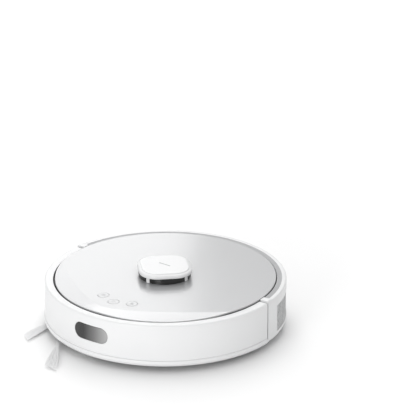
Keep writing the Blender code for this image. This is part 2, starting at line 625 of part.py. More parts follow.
def drive_wheels():
    for name, side in (("left", 1), ("right", -1)):
        axle = axle_point(side * WHEEL_X)
        tyre = wheel_ring("wheel_tyre_" + name, side, 26 * MM, WHEEL_R, "rubber")
        for i in range(TREADS):
            turn = i * 360 / TREADS
            where = Vector((0, (WHEEL_R + 0.6 * MM) * math.cos(math.radians(turn)),
                            (WHEEL_R + 0.6 * MM) * math.sin(math.radians(turn))))
            groove = box("tread", (-12 * MM, -1.2 * MM, -2.2 * MM), (12 * MM, 1.2 * MM, 2.2 * MM))
            groove.data.transform(Matrix.Translation(axle + where)
                                  @ Matrix.Rotation(math.radians(turn - 90), 4, "X"))
            cut(tyre, groove)
        hub = rod("wheel_hub_" + name, axle_point(side * (WHEEL_X - WHEEL_HALF + 1 * MM)),
                  axle_point(side * (WHEEL_X + WHEEL_HALF - 1 * MM)), 25.7 * MM,
                  "grey_plastic", segments=28)
        join(hub, rod("axle_stub", axle_point(side * 98 * MM), axle, 4 * MM, segments=20))
        for i in range(5):
            turn = math.radians(i * 72)
            spot = axle + 16 * MM * Vector((0, math.cos(turn), math.sin(turn)))
            cut(hub, rod("hub_hollow", spot, spot + Vector((side * 20 * MM, 0, 0)),
                         5 * MM, segments=8))
        set_origin(hub, axle)
        set_origin(tyre, axle)
        x = sorted((side * 84 * MM, side * 104 * MM))
        outline = link_outline((PIVOT_Y, PIVOT_Z), 9 * MM, (WHEEL_Y, WHEEL_R), 14 * MM)
        gearbox = prism("wheel_gearbox_" + name, outline, x[0], x[1], "dark_plastic", axis="X")
        cut(gearbox, rod("axle_bore", axle_point(side * 96 * MM), axle_point(side * 110 * MM),
                         4.4 * MM, segments=20))
        set_origin(gearbox, (side * 94 * MM, PIVOT_Y, PIVOT_Z))
        x = sorted((side * (WELL_X[0] - 1.5 * MM), side * (WELL_X[1] + 1.5 * MM)))
        housing = box("wheel_housing_" + name, (x[0], WELL_Y[0] - 1.5 * MM, 12.8 * MM),
                      (x[1], WELL_Y[1] + 1.5 * MM, 66 * MM), "dark_plastic")
        x = sorted((side * WELL_X[0], side * WELL_X[1]))
        cut(housing, box("well_space", (x[0], WELL_Y[0], 0), (x[1], WELL_Y[1], 64.5 * MM)))
        suspension_spring(name, side * 94 * MM)


def wheel_ring(name, side, inner, outer, material):
    """A ring about a sideways axis, with rounded shoulders."""
    half = WHEEL_HALF
    profile = [(inner, half), (outer - 2 * MM, half), (outer, half - 2 * MM),
               (outer, -half + 2 * MM), (outer - 2 * MM, -half), (inner, -half)]
    ring = turned(name, profile, material, steps=32)
    ring.data.transform(Matrix.Translation((side * WHEEL_X, WHEEL_Y, WHEEL_R))
                        @ Matrix.Rotation(math.radians(90), 4, "Y"))
    return ring


def suspension_spring(name, x):
    """Coil spring that presses the wheel's gearbox down from the roof of its housing."""
    turns, per_turn = 3, 8
    low, high, radius = 49.5 * MM, 63.4 * MM, 4.5 * MM
    curve = bpy.data.curves.new("spring_path", "CURVE")
    curve.dimensions = "3D"
    curve.bevel_depth = 0.6 * MM
    curve.bevel_resolution = 1
    curve.use_fill_caps = True
    path = curve.splines.new("POLY")
    count = turns * per_turn
    path.points.add(count)
    for i in range(count + 1):
        turn = math.tau * i / per_turn
        path.points[i].co = (x + radius * math.cos(turn), WHEEL_Y - 8 * MM + radius * math.sin(turn),
                             low + (high - low) * i / count, 1)
    guide = bpy.data.objects.new("spring_path", curve)
    CUTTERS.objects.link(guide)
    depsgraph = bpy.context.evaluated_depsgraph_get()
    mesh = bpy.data.meshes.new_from_object(guide.evaluated_get(depsgraph))
    bm = bmesh.new()
    bm.from_mesh(mesh)
    bmesh.ops.remove_doubles(bm, verts=bm.verts, dist=0.00001)
    bpy.data.objects.remove(guide)
    smooth(make("suspension_spring_" + name, bm, "steel"), 80)


def caster():
    fork = rod("caster_fork", CASTER + Vector((0, 0, 7.5 * MM)), CASTER + Vector((0, 0, 32 * MM)),
               CASTER_R, "grey_plastic", segments=28)
    centre = CASTER + Vector((0, CASTER_TRAIL, CASTER_WHEEL_R))
    cut(fork, box("fork_slot", (-6.2 * MM, CASTER.y + CASTER_TRAIL - 13 * MM, 0),
                  (6.2 * MM, CASTER.y + CASTER_TRAIL + 13 * MM, 24 * MM)))
    set_origin(fork, CASTER)
    wheel = rod("caster_wheel", centre - Vector((5.8 * MM, 0, 0)), centre + Vector((5.8 * MM, 0, 0)),
                CASTER_WHEEL_R, "dark_plastic", segments=24)
    soften(wheel, 1.2 * MM, 1)
    set_origin(wheel, centre)
    turned("caster_socket",
           [(0, 36 * MM), (15 * MM, 36 * MM), (17.6 * MM, 33.5 * MM), (17.6 * MM, 12.8 * MM),
            (15.7 * MM, 12.8 * MM), (15.7 * MM, 32.6 * MM), (0, 32.6 * MM)],
           "dark_plastic", steps=24, closed=False, centre=CASTER.xy)


# ---------------------------------------------------------------- dust bin and insides

def dust_bin():
    """Drawer-like bin whose back is part of the round body."""
    half_angle = math.degrees(math.asin(BIN_HALF / BODY_R))
    back = arc_points((0, 0), BODY_R - 0.1 * MM, 90 - half_angle, 90 + half_angle, 14)
    outline = [(-BIN_HALF, BIN_FRONT), (BIN_HALF, BIN_FRONT), *back]
    shell = prism("dust_bin", outline, BIN_Z[0], BIN_Z[1], "grey_plastic")
    side = BIN_HALF - 2.4 * MM
    cut(shell,
        box("dirt_space", (-side, BIN_FRONT + 2.4 * MM, BIN_Z[0] + 2.4 * MM),
            (side, BIN_BACK, BIN_Z[1] + 5 * MM)),
        box("inlet", (-25 * MM, 50 * MM, 25 * MM), (25 * MM, 75 * MM, 43 * MM)),
        box("evac_port", (EVAC[0], 140 * MM, EVAC_Z[0]), (EVAC[1], 180 * MM, EVAC_Z[1])),
        box("air_out", (-70 * MM, 84 * MM, 26 * MM), (-55 * MM, 132 * MM, 52 * MM)),
        box("button_pocket", (-14.4 * MM, 160 * MM, 29.6 * MM), (14.4 * MM, 180 * MM, 46.4 * MM)))
    lid = prism("bin_lid", outline, BIN_Z[1] + GAP, 65.8 * MM, "grey_plastic")
    soften(lid, 0.6 * MM, 1)
    bin_filter = box("bin_filter", (-59.3 * MM, 80 * MM, 20 * MM), (-49.5 * MM, 138 * MM, 58 * MM),
                     "filter_paper")
    soften(bin_filter, 0.8 * MM, 1)
    button = box("bin_release_button", (-14 * MM, 163 * MM, 30 * MM), (14 * MM, 169.4 * MM, 46 * MM),
                 "dark_plastic")
    soften(button, 1.5 * MM, 2)
    inlet_flap = box("inlet_flap", (-27 * MM, 68.8 * MM, 23.5 * MM), (27 * MM, 70.2 * MM, 47 * MM),
                     "rubber")
    set_origin(inlet_flap, (0, 69.5 * MM, 47 * MM))
    evac_flap = box("evac_flap", (EVAC[0] - 2 * MM, 144.2 * MM, EVAC_Z[0] - 2 * MM),
                    (EVAC[1] + 2 * MM, 145.6 * MM, EVAC_Z[1] + 3 * MM), "rubber")
    set_origin(evac_flap, (sum(EVAC) / 2, 144.9 * MM, EVAC_Z[1] + 3 * MM))


def insides():
    battery = box("battery_pack", (-69 * MM, -79.5 * MM, 13.5 * MM), (69 * MM, -51 * MM, 50 * MM),
                  "battery_wrap")
    soften(battery, 3 * MM, 2)
    box("main_board", (-58 * MM, -76 * MM, 52.5 * MM), (58 * MM, -4 * MM, 54.1 * MM),
        "circuit_board")
    centre = Vector((-92 * MM, 89 * MM, 0))
    housing = turned("fan_housing",
                     [(10 * MM, 50 * MM), (23 * MM, 50 * MM), (24.5 * MM, 48.5 * MM),
                      (24.5 * MM, 15 * MM), (0, 15 * MM), (0, 18 * MM), (22.5 * MM, 18 * MM),
                      (22.5 * MM, 47.5 * MM), (10 * MM, 47.5 * MM)],
                     "dark_plastic", steps=24, centre=centre.xy)
    cut(housing, box("fan_outlet", (-18 * MM, -8 * MM, -9 * MM), (8 * MM, 8 * MM, 9 * MM),
                     centre=(centre.x - 22 * MM, centre.y, 32 * MM)))
    impeller = turned("fan_impeller",
                      [(0, 42 * MM), (5 * MM, 42 * MM), (9 * MM, 26 * MM), (20 * MM, 22 * MM),
                       (20 * MM, 20.5 * MM), (0, 20.5 * MM)],
                      "grey_plastic", steps=20, closed=False, centre=centre.xy)
    for i in range(7):
        turn = i * 360 / 7
        out = Vector((math.cos(math.radians(turn)), math.sin(math.radians(turn)), 0))
        where = centre + out * 12.5 * MM
        join(impeller, box("blade", (-6.5 * MM, -0.8 * MM, -7.5 * MM), (6.5 * MM, 0.8 * MM, 7.5 * MM),
                           turn=turn + 12, centre=(where.x, where.y, 28.5 * MM)))
    set_origin(impeller, centre)


def settle():
    """Move the finished robot so that the middle of its footprint's length is the origin."""
    bpy.context.view_layer.update()
    reach = [(obj.matrix_world @ Vector(corner)).y for obj in PARTS.objects
             for corner in obj.bound_box]
    shift = -(min(reach) + max(reach)) / 2
    for obj in bpy.data.objects:
        obj.location.y += shift


chassis_base()
underside_plates()
bumper()
rear_body()
top_cover()
turret()
side_brush()
main_brush()
drive_wheels()
caster()
dust_bin()
insides()
settle()
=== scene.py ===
"""Looks for a round robot vacuum: fine shells, brushes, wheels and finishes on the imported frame.

Shapes are laid out in metres about the body's axis and then moved onto the frame. Forward is -Y,
the robot's left is +X, and headings run from forward towards the robot's left, in degrees.
"""

import json
import math
import random

import bmesh
import bpy
from mathutils import Matrix, Vector


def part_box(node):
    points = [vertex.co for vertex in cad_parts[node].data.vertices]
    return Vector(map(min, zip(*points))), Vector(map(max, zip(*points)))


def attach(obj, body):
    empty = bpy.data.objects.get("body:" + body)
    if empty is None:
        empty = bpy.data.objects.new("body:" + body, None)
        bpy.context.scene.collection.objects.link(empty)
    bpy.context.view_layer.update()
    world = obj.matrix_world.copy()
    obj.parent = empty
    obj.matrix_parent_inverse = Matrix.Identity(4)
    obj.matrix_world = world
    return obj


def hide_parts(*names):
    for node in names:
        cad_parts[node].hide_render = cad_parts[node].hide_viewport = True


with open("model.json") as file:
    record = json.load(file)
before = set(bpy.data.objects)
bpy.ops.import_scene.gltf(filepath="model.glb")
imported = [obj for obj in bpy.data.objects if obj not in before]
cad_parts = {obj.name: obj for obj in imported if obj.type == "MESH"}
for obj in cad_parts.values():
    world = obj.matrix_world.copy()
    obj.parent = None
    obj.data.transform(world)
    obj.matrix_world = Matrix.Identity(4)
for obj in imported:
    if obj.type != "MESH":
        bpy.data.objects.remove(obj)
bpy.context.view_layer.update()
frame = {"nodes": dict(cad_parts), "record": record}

MM = 0.001
NODES = frame["nodes"]
PLATE_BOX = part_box("top_cover")
AXIS = Vector(((PLATE_BOX[0].x + PLATE_BOX[1].x) / 2, (PLATE_BOX[0].y + PLATE_BOX[1].y) / 2, 0))


def span(node):
    """Lowest and highest corner of a CAD node, measured from the body's axis."""
    low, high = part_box(node)
    return low - AXIS, high - AXIS


def centre_of(node):
    low, high = span(node)
    return (low + high) / 2


SIDES = (("left", 1), ("right", -1))

# Body. The bumper's and rear wall's ends, the bridges' end and the grille are headings
BODY_R = 170 * MM
LEDGE_Z = span("bumper")[1].z
REAR_Z = LEDGE_Z + 1 * MM
PLATE_R = (PLATE_BOX[1].x - PLATE_BOX[0].x) / 2
PLATE_EDGE_Z = span("rear_body")[1].z
DOME = 1.8 * MM
BUMPER_END = 93.5
REAR_START = 94.4
BRIDGE_END = 97.8
GRILLE = (103.6, 150.0)
GRILLE_Z = (18 * MM, 57 * MM)
GAP = 0.3 * MM

# Front window, from its pane, and the two ends of its cutters along Y
PANE = span("bumper_window")
WINDOW_HALF = PANE[1].x + GAP
WINDOW_Z = (PANE[0].z - GAP, PANE[1].z + GAP)
WINDOW_CUT = (-180 * MM, -150 * MM)

# Top cover and buttons. The crease crosses the middle CREASE_FRONT mm ahead of the axis and curves
# back by CREASE_PULL times the CREASE_POWER power of the distance from the middle in mm
HOLE_R = 34 * MM
BUTTON_R = 8 * MM
DISH = 0.12 * MM
CREASE_FRONT = 139.0
CREASE_PULL = 0.0559
CREASE_POWER = 1.48
FACET_SLOPE = 0.085

# Turret, whose lid and window sit ahead of the body's axis
CAP_TOP = span("turret_cap")[1].z
BAND = span("turret_window")
TURRET = Vector((0, (BAND[0].y + BAND[1].y) / 2, 0))

# Running gear; the guard's bars sit in the roller's grooves
ROLLER = centre_of("main_brush_core")
ROLLER_R = (span("main_brush_sleeve")[1].z - span("main_brush_sleeve")[0].z) / 2
ROLLER_HALF = span("main_brush_sleeve")[1].x
GROOVES = (-36 * MM, 0.0, 36 * MM)
SIDE_HUB = centre_of("side_brush_motor")
CASTER = centre_of("caster_socket")

# Side brush, by the same rule as its CAD nodes. Pairs are for a tuft's root and tip; a set is the
# turn in degrees, and the shares of the length where the turn ends and where the fan starts
SIDE_ARM = 26 * MM
SIDE_ARM_START = -140.9
SIDE_ARM_STEP = 72
TUFT_LENGTH = 104 * MM
TUFT_WIDTH = (4.6 * MM, 23 * MM)
TUFT_THICK = (2.6 * MM, 1.6 * MM)
TUFT_Z = (5.6 * MM, 3.2 * MM)
TUFT_SKEW = -36.0
TUFT_SETS = ((82.7, 0.13, 0.36), (100, 0.3, 0.3), (120, 0.2, 0.3), (75, 0.3, 0.3),
             (122.6, 0.62, 0.1))
TUFT_ROWS = 24
TUFT_FILAMENTS = 110

# Camera, and where it looks from the body's axis
VIEW_AZIMUTH = math.radians(37)
VIEW_ELEVATION = math.radians(22.15)
VIEW_DISTANCE = 5.481
VIEW_LENS = 311.5
VIEW_AIM = Vector((-0.2117, 0.380, 0))


# ---------------------------------------------------------------- materials

class Finish:
    """A Principled material whose colour, roughness and bump come from procedural nodes."""

    def __init__(self, name, **sockets):
        self.material = bpy.data.materials.new(name)
        self.material.use_nodes = True
        self.tree = self.material.node_tree
        self.shader = self.tree.nodes["Principled BSDF"]
        for socket, value in sockets.items():
            self.shader.inputs[socket.replace("_", " ")].default_value = value
        self.place = self.node("ShaderNodeTexCoord").outputs["Object"]
        self.normal = None

    def node(self, kind, **settings):
        made = self.tree.nodes.new(kind)
        for name, value in settings.items():
            setattr(made, name, value)
        return made

    def link(self, source, target):
        self.tree.links.new(source, target)

    def noise(self, size, detail=3.0, stretch=(1, 1, 1)):
        """Noise with features about one size across, longer along the stretched axes."""
        mapping = self.node("ShaderNodeMapping")
        mapping.inputs["Scale"].default_value = [1 / s for s in stretch]
        self.link(self.place, mapping.inputs["Vector"])
        texture = self.node("ShaderNodeTexNoise")
        texture.inputs["Scale"].default_value = 1 / size
        texture.inputs["Detail"].default_value = detail
        self.link(mapping.outputs["Vector"], texture.inputs["Vector"])
        return texture.outputs["Fac"]

    def cells(self, size, feature="F1"):
        texture = self.node("ShaderNodeTexVoronoi", feature=feature)
        texture.inputs["Scale"].default_value = 1 / size
        self.link(self.place, texture.inputs["Vector"])
        return texture.outputs["Distance"]

    def ramp(self, factor, stops):
        """Base colours along a factor: stops are (place, grey or colour)."""
        node = self.node("ShaderNodeValToRGB")
        points = node.color_ramp.elements
        while len(points) < len(stops):
            points.new(0.5)
        for point, (place, colour) in zip(points, stops):
            if not isinstance(colour, tuple):
                colour = (colour, colour, colour)
            point.position, point.color = place, (*colour, 1.0)
        self.link(factor, node.inputs["Fac"])
        self.link(node.outputs["Color"], self.shader.inputs["Base Color"])

    def spread(self, factor, low, high):
        """Vary the roughness between two amounts over the middle part of a factor."""
        node = self.node("ShaderNodeMapRange")
        for name, value in (("From Min", 0.3), ("From Max", 0.7), ("To Min", low),
                            ("To Max", high)):
            node.inputs[name].default_value = value
        self.link(factor, node.inputs["Value"])
        self.link(node.outputs["Result"], self.shader.inputs["Roughness"])

    def bump(self, factor, height, strength=1.0):
        """Raise the surface by a factor times a height in metres; bumps add up."""
        node = self.node("ShaderNodeBump")
        node.inputs["Strength"].default_value = strength
        node.inputs["Distance"].default_value = height
        self.link(factor, node.inputs["Height"])
        if self.normal:
            self.link(self.normal, node.inputs["Normal"])
        self.normal = node.outputs["Normal"]
        self.link(self.normal, self.shader.inputs["Normal"])

    def axis(self, name):
        split = self.node("ShaderNodeSeparateXYZ")
        self.link(self.place, split.inputs["Vector"])
        return split.outputs[name]


def white_plastic():
    look = Finish("white_plastic", Coat_Weight=0.25, Coat_Roughness=0.2, IOR=1.4)
    look.ramp(look.noise(90 * MM), [(0.35, (0.735, 0.739, 0.743)), (0.65, (0.755, 0.758, 0.762))])
    look.spread(look.noise(14 * MM), 0.34, 0.42)
    look.bump(look.noise(0.35 * MM, 2.0), 0.006 * MM)
    return look.material


def pearl_cover():
    look = Finish("pearl_cover", Coat_Weight=1.0, Coat_Roughness=0.14, IOR=1.5, Metallic=0.1)
    look.ramp(look.noise(0.25 * MM, 1.0),
              [(0.3, (0.39, 0.394, 0.402)), (0.7, (0.435, 0.438, 0.445))])
    look.spread(look.noise(0.4 * MM, 1.0), 0.34, 0.44)
    return look.material


def black_window():
    """Dark tinted pane, with a painted reflection that brightens its colour from near black on one
    side to pale grey on the other.
    """
    look = Finish("black_window", Coat_Weight=0.4, Coat_Roughness=0.03, IOR=1.45)
    # Painted reflection: the base colour ramps along the pane's X from near black to pale grey,
    # the same from every view.
    factor = look.node("ShaderNodeMapRange")
    factor.inputs["From Min"].default_value = -WINDOW_HALF
    factor.inputs["From Max"].default_value = WINDOW_HALF
    look.link(look.axis("X"), factor.inputs["Value"])
    look.ramp(factor.outputs["Result"], [(0.0, 0.004), (0.3, 0.008), (0.62, 0.14), (1.0, 0.38)])
    look.spread(look.noise(4 * MM), 0.1, 0.16)
    return look.material


def smoked():
    look = Finish("smoked_window", Coat_Weight=0.4, Coat_Roughness=0.04, IOR=1.5)
    look.ramp(look.noise(6 * MM), [(0.3, 0.004), (0.7, 0.009)])
    look.spread(look.noise(3 * MM), 0.07, 0.14)
    look.bump(look.noise(0.5 * MM), 0.004 * MM)
    return look.material


def moulded(name, dark, light, depth=0.03 * MM):
    """Spark-textured moulded plastic."""
    look = Finish(name, IOR=1.46)
    look.ramp(look.noise(18 * MM, 5.0), [(0.3, dark), (0.7, light)])
    look.spread(look.noise(2.5 * MM), 0.45, 0.6)
    look.bump(look.cells(0.45 * MM), depth, 0.7)
    return look.material


def rubber():
    look = Finish("rubber", IOR=1.5, Specular_IOR_Level=0.35)
    look.ramp(look.noise(7 * MM, 6.0), [(0.3, (0.012, 0.012, 0.013)), (0.7, (0.03, 0.03, 0.031))])
    look.spread(look.noise(1.5 * MM), 0.68, 0.9)
    look.bump(look.noise(0.5 * MM, 4.0), 0.05 * MM)
    return look.material


def bristle():
    look = Finish("bristle", IOR=1.5, Sheen_Weight=0.15)
    look.ramp(look.noise(2.2 * MM, 2.0),
              [(0.3, (0.94, 0.942, 0.944)), (0.7, (0.985, 0.986, 0.987))])
    look.spread(look.noise(1 * MM), 0.35, 0.55)
    return look.material


def steel():
    look = Finish("steel", Metallic=1.0)
    brushed = look.noise(0.4 * MM, 4.0, (40, 1, 1))
    look.ramp(brushed, [(0.3, (0.46, 0.46, 0.47)), (0.7, (0.66, 0.66, 0.67))])
    look.spread(brushed, 0.22, 0.42)
    look.bump(brushed, 0.008 * MM)
    return look.material


def battery_wrap():
    look = Finish("battery_wrap", Coat_Weight=0.5, Coat_Roughness=0.2)
    look.ramp(look.noise(12 * MM), [(0.3, (0.03, 0.09, 0.28)), (0.7, (0.05, 0.13, 0.36))])
    look.spread(look.noise(5 * MM), 0.3, 0.5)
    look.bump(look.noise(9 * MM, 5.0), 0.5 * MM)
    return look.material


def circuit_board():
    look = Finish("circuit_board", Coat_Weight=0.4)
    look.ramp(look.cells(3 * MM, "DISTANCE_TO_EDGE"),
              [(0.02, (0.03, 0.22, 0.10)), (0.06, (0.012, 0.11, 0.045))])
    look.spread(look.noise(2 * MM), 0.3, 0.5)
    look.bump(look.noise(1 * MM), 0.05 * MM)
    return look.material


def filter_paper():
    """Pleats run up the filter, with fine fibres in the paper; the folds are painted darker than
    the crests as painted shade.
    """
    look = Finish("filter_paper", Sheen_Weight=0.2)
    pleats = look.node("ShaderNodeTexWave", wave_type="BANDS", bands_direction="Y",
                       wave_profile="TRI")
    pleats.inputs["Scale"].default_value = 1 / (20 * 2.4 * MM)
    look.link(look.place, pleats.inputs["Vector"])
    # Painted shade: the colour follows the pleats' height, dark in the folds and pale on the
    # crests.
    look.ramp(pleats.outputs["Fac"], [(0.0, (0.42, 0.42, 0.39)), (1.0, (0.80, 0.80, 0.75))])
    look.bump(pleats.outputs["Fac"], 1.2 * MM)
    look.spread(look.noise(0.6 * MM), 0.8, 0.95)
    look.bump(look.noise(0.3 * MM, 6.0), 0.05 * MM)
    return look.material


LOOKS = {
    "white_plastic": white_plastic(),
    "pearl_cover": pearl_cover(),
    "black_window": black_window(),
    "smoked": smoked(),
    "dark_plastic": moulded("dark_plastic", (0.022, 0.023, 0.026), (0.04, 0.041, 0.045)),
    "grey_plastic": moulded("grey_plastic", (0.27, 0.275, 0.285), (0.32, 0.325, 0.335)),
    # ledge_grey is the turret collar's grey, and it is also laid along the rear ledge as painted
    # shade.
    "ledge_grey": moulded("ledge_grey", (0.36, 0.363, 0.37), (0.40, 0.403, 0.41),
                          depth=0.012 * MM),
    "vent_grey": moulded("vent_grey", (0.50, 0.505, 0.51), (0.56, 0.565, 0.57), depth=0.01 * MM),
    "print_grey": moulded("print_grey", (0.30, 0.305, 0.31), (0.36, 0.365, 0.37),
                          depth=0.005 * MM),
    "rubber": rubber(),
    "bristle": bristle(),
    "steel": steel(),
    "battery_wrap": battery_wrap(),
    "circuit_board": circuit_board(),
    "filter_paper": filter_paper(),
}


# ---------------------------------------------------------------- shape tools

def heading(angle, radius, z=0.0):
    """The point at an angle from forward and a distance from the body's axis."""
    turn = math.radians(angle)
    return Vector((radius * math.sin(turn), -radius * math.cos(turn), z))


def outline(corners, closed=True, degrees=12):
    """Points through corners (a, b, radius), with each corner rounded by its radius."""
    points = []
    for i, (a, b, radius) in enumerate(corners):
        here = Vector((a, b))
        if not radius or (not closed and i in (0, len(corners) - 1)):
            points.append(here)
            continue
        before = (Vector(corners[i - 1][:2]) - here).normalized()
        after = (Vector(corners[(i + 1) % len(corners)][:2]) - here).normalized()
        half = before.angle(after) / 2
        centre = here + (before + after).normalized() * radius / math.sin(half)
        first = here + before * radius / math.tan(half) - centre
        last = here + after * radius / math.tan(half) - centre
        start = math.atan2(first.y, first.x)
        sweep = (math.atan2(last.y, last.x) - start + math.pi) % math.tau - math.pi
        steps = max(2, round(abs(math.degrees(sweep)) / degrees + 0.3))
        for k in range(steps + 1):
            turn = start + sweep * k / steps
            points.append(centre + Vector((math.cos(turn), math.sin(turn))) * radius)
    return points


def rounded_box(half_a, half_b, radius, centre=(0, 0), degrees=9):
    """The outline of a rectangle with round corners."""
    return outline([(centre[0] + sa * half_a, centre[1] + sb * half_b, radius)
                    for sa, sb in ((1, 1), (-1, 1), (-1, -1), (1, -1))], degrees=degrees)


def wall_between(bm, first, second, closed=True):
    """Faces between two rows of vertices."""
    for i in range(len(first) if closed else len(first) - 1):
        j = (i + 1) % len(first)
        bm.faces.new((first[i], first[j], second[j], second[i]))


def skin(bm, rings, caps=True, closed=True):
    """Walls from ring to ring with both ends capped, or back to the first ring without caps."""
    for i in range(len(rings) - 1 if caps else len(rings)):
        wall_between(bm, rings[i], rings[(i + 1) % len(rings)], closed)
    if caps:
        bm.faces.new(rings[0])
        bm.faces.new(rings[-1])


def outward(bm):
    bmesh.ops.recalc_face_normals(bm, faces=bm.faces)
    return bm


def lathe(profile, arc=(0, 360), step=2.0, closed=True, centre=(0, 0)):
    """Revolve an outline of (radius, height) between two headings, with flat ends."""
    bm = bmesh.new()
    whole = arc[1] - arc[0] >= 360
    count = max(3, round((arc[1] - arc[0]) / step))
    rings = []
    for i in range(count if whole else count + 1):
        angle = arc[0] + (arc[1] - arc[0]) * i / count
        rings.append([bm.verts.new(heading(angle, r, z) + Vector((*centre, 0)))
                      for r, z in profile])
    skin(bm, rings, not whole, closed)
    bmesh.ops.remove_doubles(bm, verts=bm.verts, dist=0.0005 * MM)
    return outward(bm)


def spindle(corners, step=6, centre=(0, 0)):
    """Revolve corners (radius, height, rounding) that start and end on the axis into a solid."""
    return lathe(outline(corners, closed=False), step=step, closed=False, centre=centre)


def move(bm, degrees, axis, by):
    """Turn a shape about an axis through the origin, then shift it."""
    bmesh.ops.rotate(bm, verts=bm.verts, cent=(0, 0, 0),
                     matrix=Matrix.Rotation(math.radians(degrees), 3, axis))
    bmesh.ops.translate(bm, verts=bm.verts, vec=by)
    return bm


def sideways(bm, at):
    """Set a lathed shape so that its axis runs along X through a point."""
    return move(bm, 90, "Y", at)


def prism(points, near, far):
    """An upright flat outline of (x, z), extruded along Y."""
    bm = bmesh.new()
    skin(bm, [[bm.verts.new((x, y, z)) for x, z in points] for y in (near, far)])
    return outward(bm)


def block(low, high, turn=0.0, centre=None):
    """A block between two corners, which may be turned about Z and set on a centre."""
    bm = bmesh.new()
    bmesh.ops.create_cube(bm, size=1.0)
    bmesh.ops.scale(bm, verts=bm.verts, vec=Vector(high) - Vector(low))
    return move(bm, turn, "Z", (Vector(high) + Vector(low)) / 2 if centre is None else centre)


def rod(start, end, radius, far_radius=None, segments=48):
    start, end = Vector(start), Vector(end)
    bm = bmesh.new()
    bmesh.ops.create_cone(bm, cap_ends=True, segments=segments, radius1=radius,
                          radius2=radius if far_radius is None else far_radius,
                          depth=(end - start).length)
    turn = (end - start).to_track_quat("Z", "Y").to_matrix()
    bmesh.ops.rotate(bm, verts=bm.verts, cent=(0, 0, 0), matrix=turn)
    bmesh.ops.translate(bm, verts=bm.verts, vec=(start + end) / 2)
    return bm


def soften(bm, width, segments=2, angle=30):
    """Round every edge that is sharper than an angle."""
    edges = [e for e in bm.edges if len(e.link_faces) == 2
             and e.calc_face_angle() > math.radians(angle)]
    bmesh.ops.bevel(bm, geom=edges, offset=width, segments=segments, profile=0.5,
                    affect="EDGES", clamp_overlap=True)
    return bm


def add_object(name, data):
    obj = bpy.data.objects.new(name, data)
    bpy.context.scene.collection.objects.link(obj)
    return obj


def mesh_of(name, bm):
    """A bmesh as a mesh; the bmesh is freed."""
    mesh = bpy.data.meshes.new(name)
    bm.to_mesh(mesh)
    bm.free()
    return mesh


def discard(obj):
    mesh = obj.data
    bpy.data.objects.remove(obj)
    bpy.data.meshes.remove(mesh)


def carve(bm, *others, operation="DIFFERENCE"):
    """Cut shapes out of a solid, or join or intersect them with it."""
    target, *tools = [add_object("loose", mesh_of("loose", shape)) for shape in (bm, *others)]
    for tool in tools:
        step = target.modifiers.new("carve", "BOOLEAN")
        step.operation = operation
        step.solver = "EXACT"
        step.object = tool
    bpy.context.view_layer.update()
    depsgraph = bpy.context.evaluated_depsgraph_get()
    mesh = bpy.data.meshes.new_from_object(target.evaluated_get(depsgraph))
    result = bmesh.new()
    result.from_mesh(mesh)
    bpy.data.meshes.remove(mesh)
    for obj in (target, *tools):
        discard(obj)
    return result


def together(*shapes):
    """Several separate shapes in one mesh."""
    result = shapes[0]
    for shape in shapes[1:]:
        mesh = mesh_of("loose", shape)
        result.from_mesh(mesh)
        bpy.data.meshes.remove(mesh)
    return result


def piece(name, bm, body, look, *replaced, sharp=35, round_wall=None):
    """Make a shape into a finished piece that rides on a body and stands for CAD nodes.

    A round wall is a radius: faces on it are shaded as one true cylinder.
    """
    bmesh.ops.translate(bm, verts=bm.verts, vec=AXIS)
    mesh = mesh_of(name, bm)
    mesh.materials.append(LOOKS[look])
    obj = add_object(name, mesh)
    mesh.shade_smooth()
    mesh.set_sharp_from_angle(angle=math.radians(sharp))
    if round_wall:
        shade_round(mesh, round_wall)
    else:
        weighted = obj.modifiers.new("weighted", "WEIGHTED_NORMAL")
        weighted.keep_sharp = True
        weighted.weight = 60
    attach(obj, body)
    if replaced:
        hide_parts(*replaced)


def shade_round(mesh, radius):
    """Point the normals of an upright round wall straight away from the body's axis."""
    normals = [Vector(corner.vector) for corner in mesh.corner_normals]
    for polygon in mesh.polygons:
        outward = Vector((polygon.center.x - AXIS.x, polygon.center.y - AXIS.y, 0)).normalized()
        if polygon.normal.dot(outward) < 0.9995:
            continue
        for index in polygon.loop_indices:
            point = mesh.vertices[mesh.loops[index].vertex_index].co - AXIS
            if abs(point.xy.length - radius) < 0.4 * MM:
                normals[index] = Vector((point.x, point.y, 0)).normalized()
    mesh.normals_split_custom_set(normals)


def fine_copy(node):
    """A CAD node's solid as a bmesh about the body's axis, with flat faces merged."""
    bm = bmesh.new()
    bm.from_mesh(NODES[node].data)
    bmesh.ops.remove_doubles(bm, verts=bm.verts, dist=0.002 * MM)
    bmesh.ops.translate(bm, verts=bm.verts, vec=-AXIS)
    bmesh.ops.dissolve_limit(bm, angle_limit=math.radians(1), verts=bm.verts, edges=bm.edges)
    return bm


def refined(name, node, body, look, width, segments=2):
    """A piece that is its CAD node with finely rounded edges."""
    piece(name, soften(fine_copy(node), width, segments, 35), body, look, node)


def plane_height(radius):
    """Height of the domed top cover at a distance from the axis."""
    return PLATE_EDGE_Z + DOME * (1 - (radius / PLATE_R) ** 2)


# ---------------------------------------------------------------- outer shells

def mm_outline(corners):
    """An outline whose corners (radius, height, rounding) are given in millimetres."""
    return outline([(r * MM, z * MM, rounding * MM) for r, z, rounding in corners])


def on_side(side, start, end):
    """A span of headings on the left (1), or its mirror image on the right (-1)."""
    return (start, end) if side > 0 else (360 - end, 360 - start)


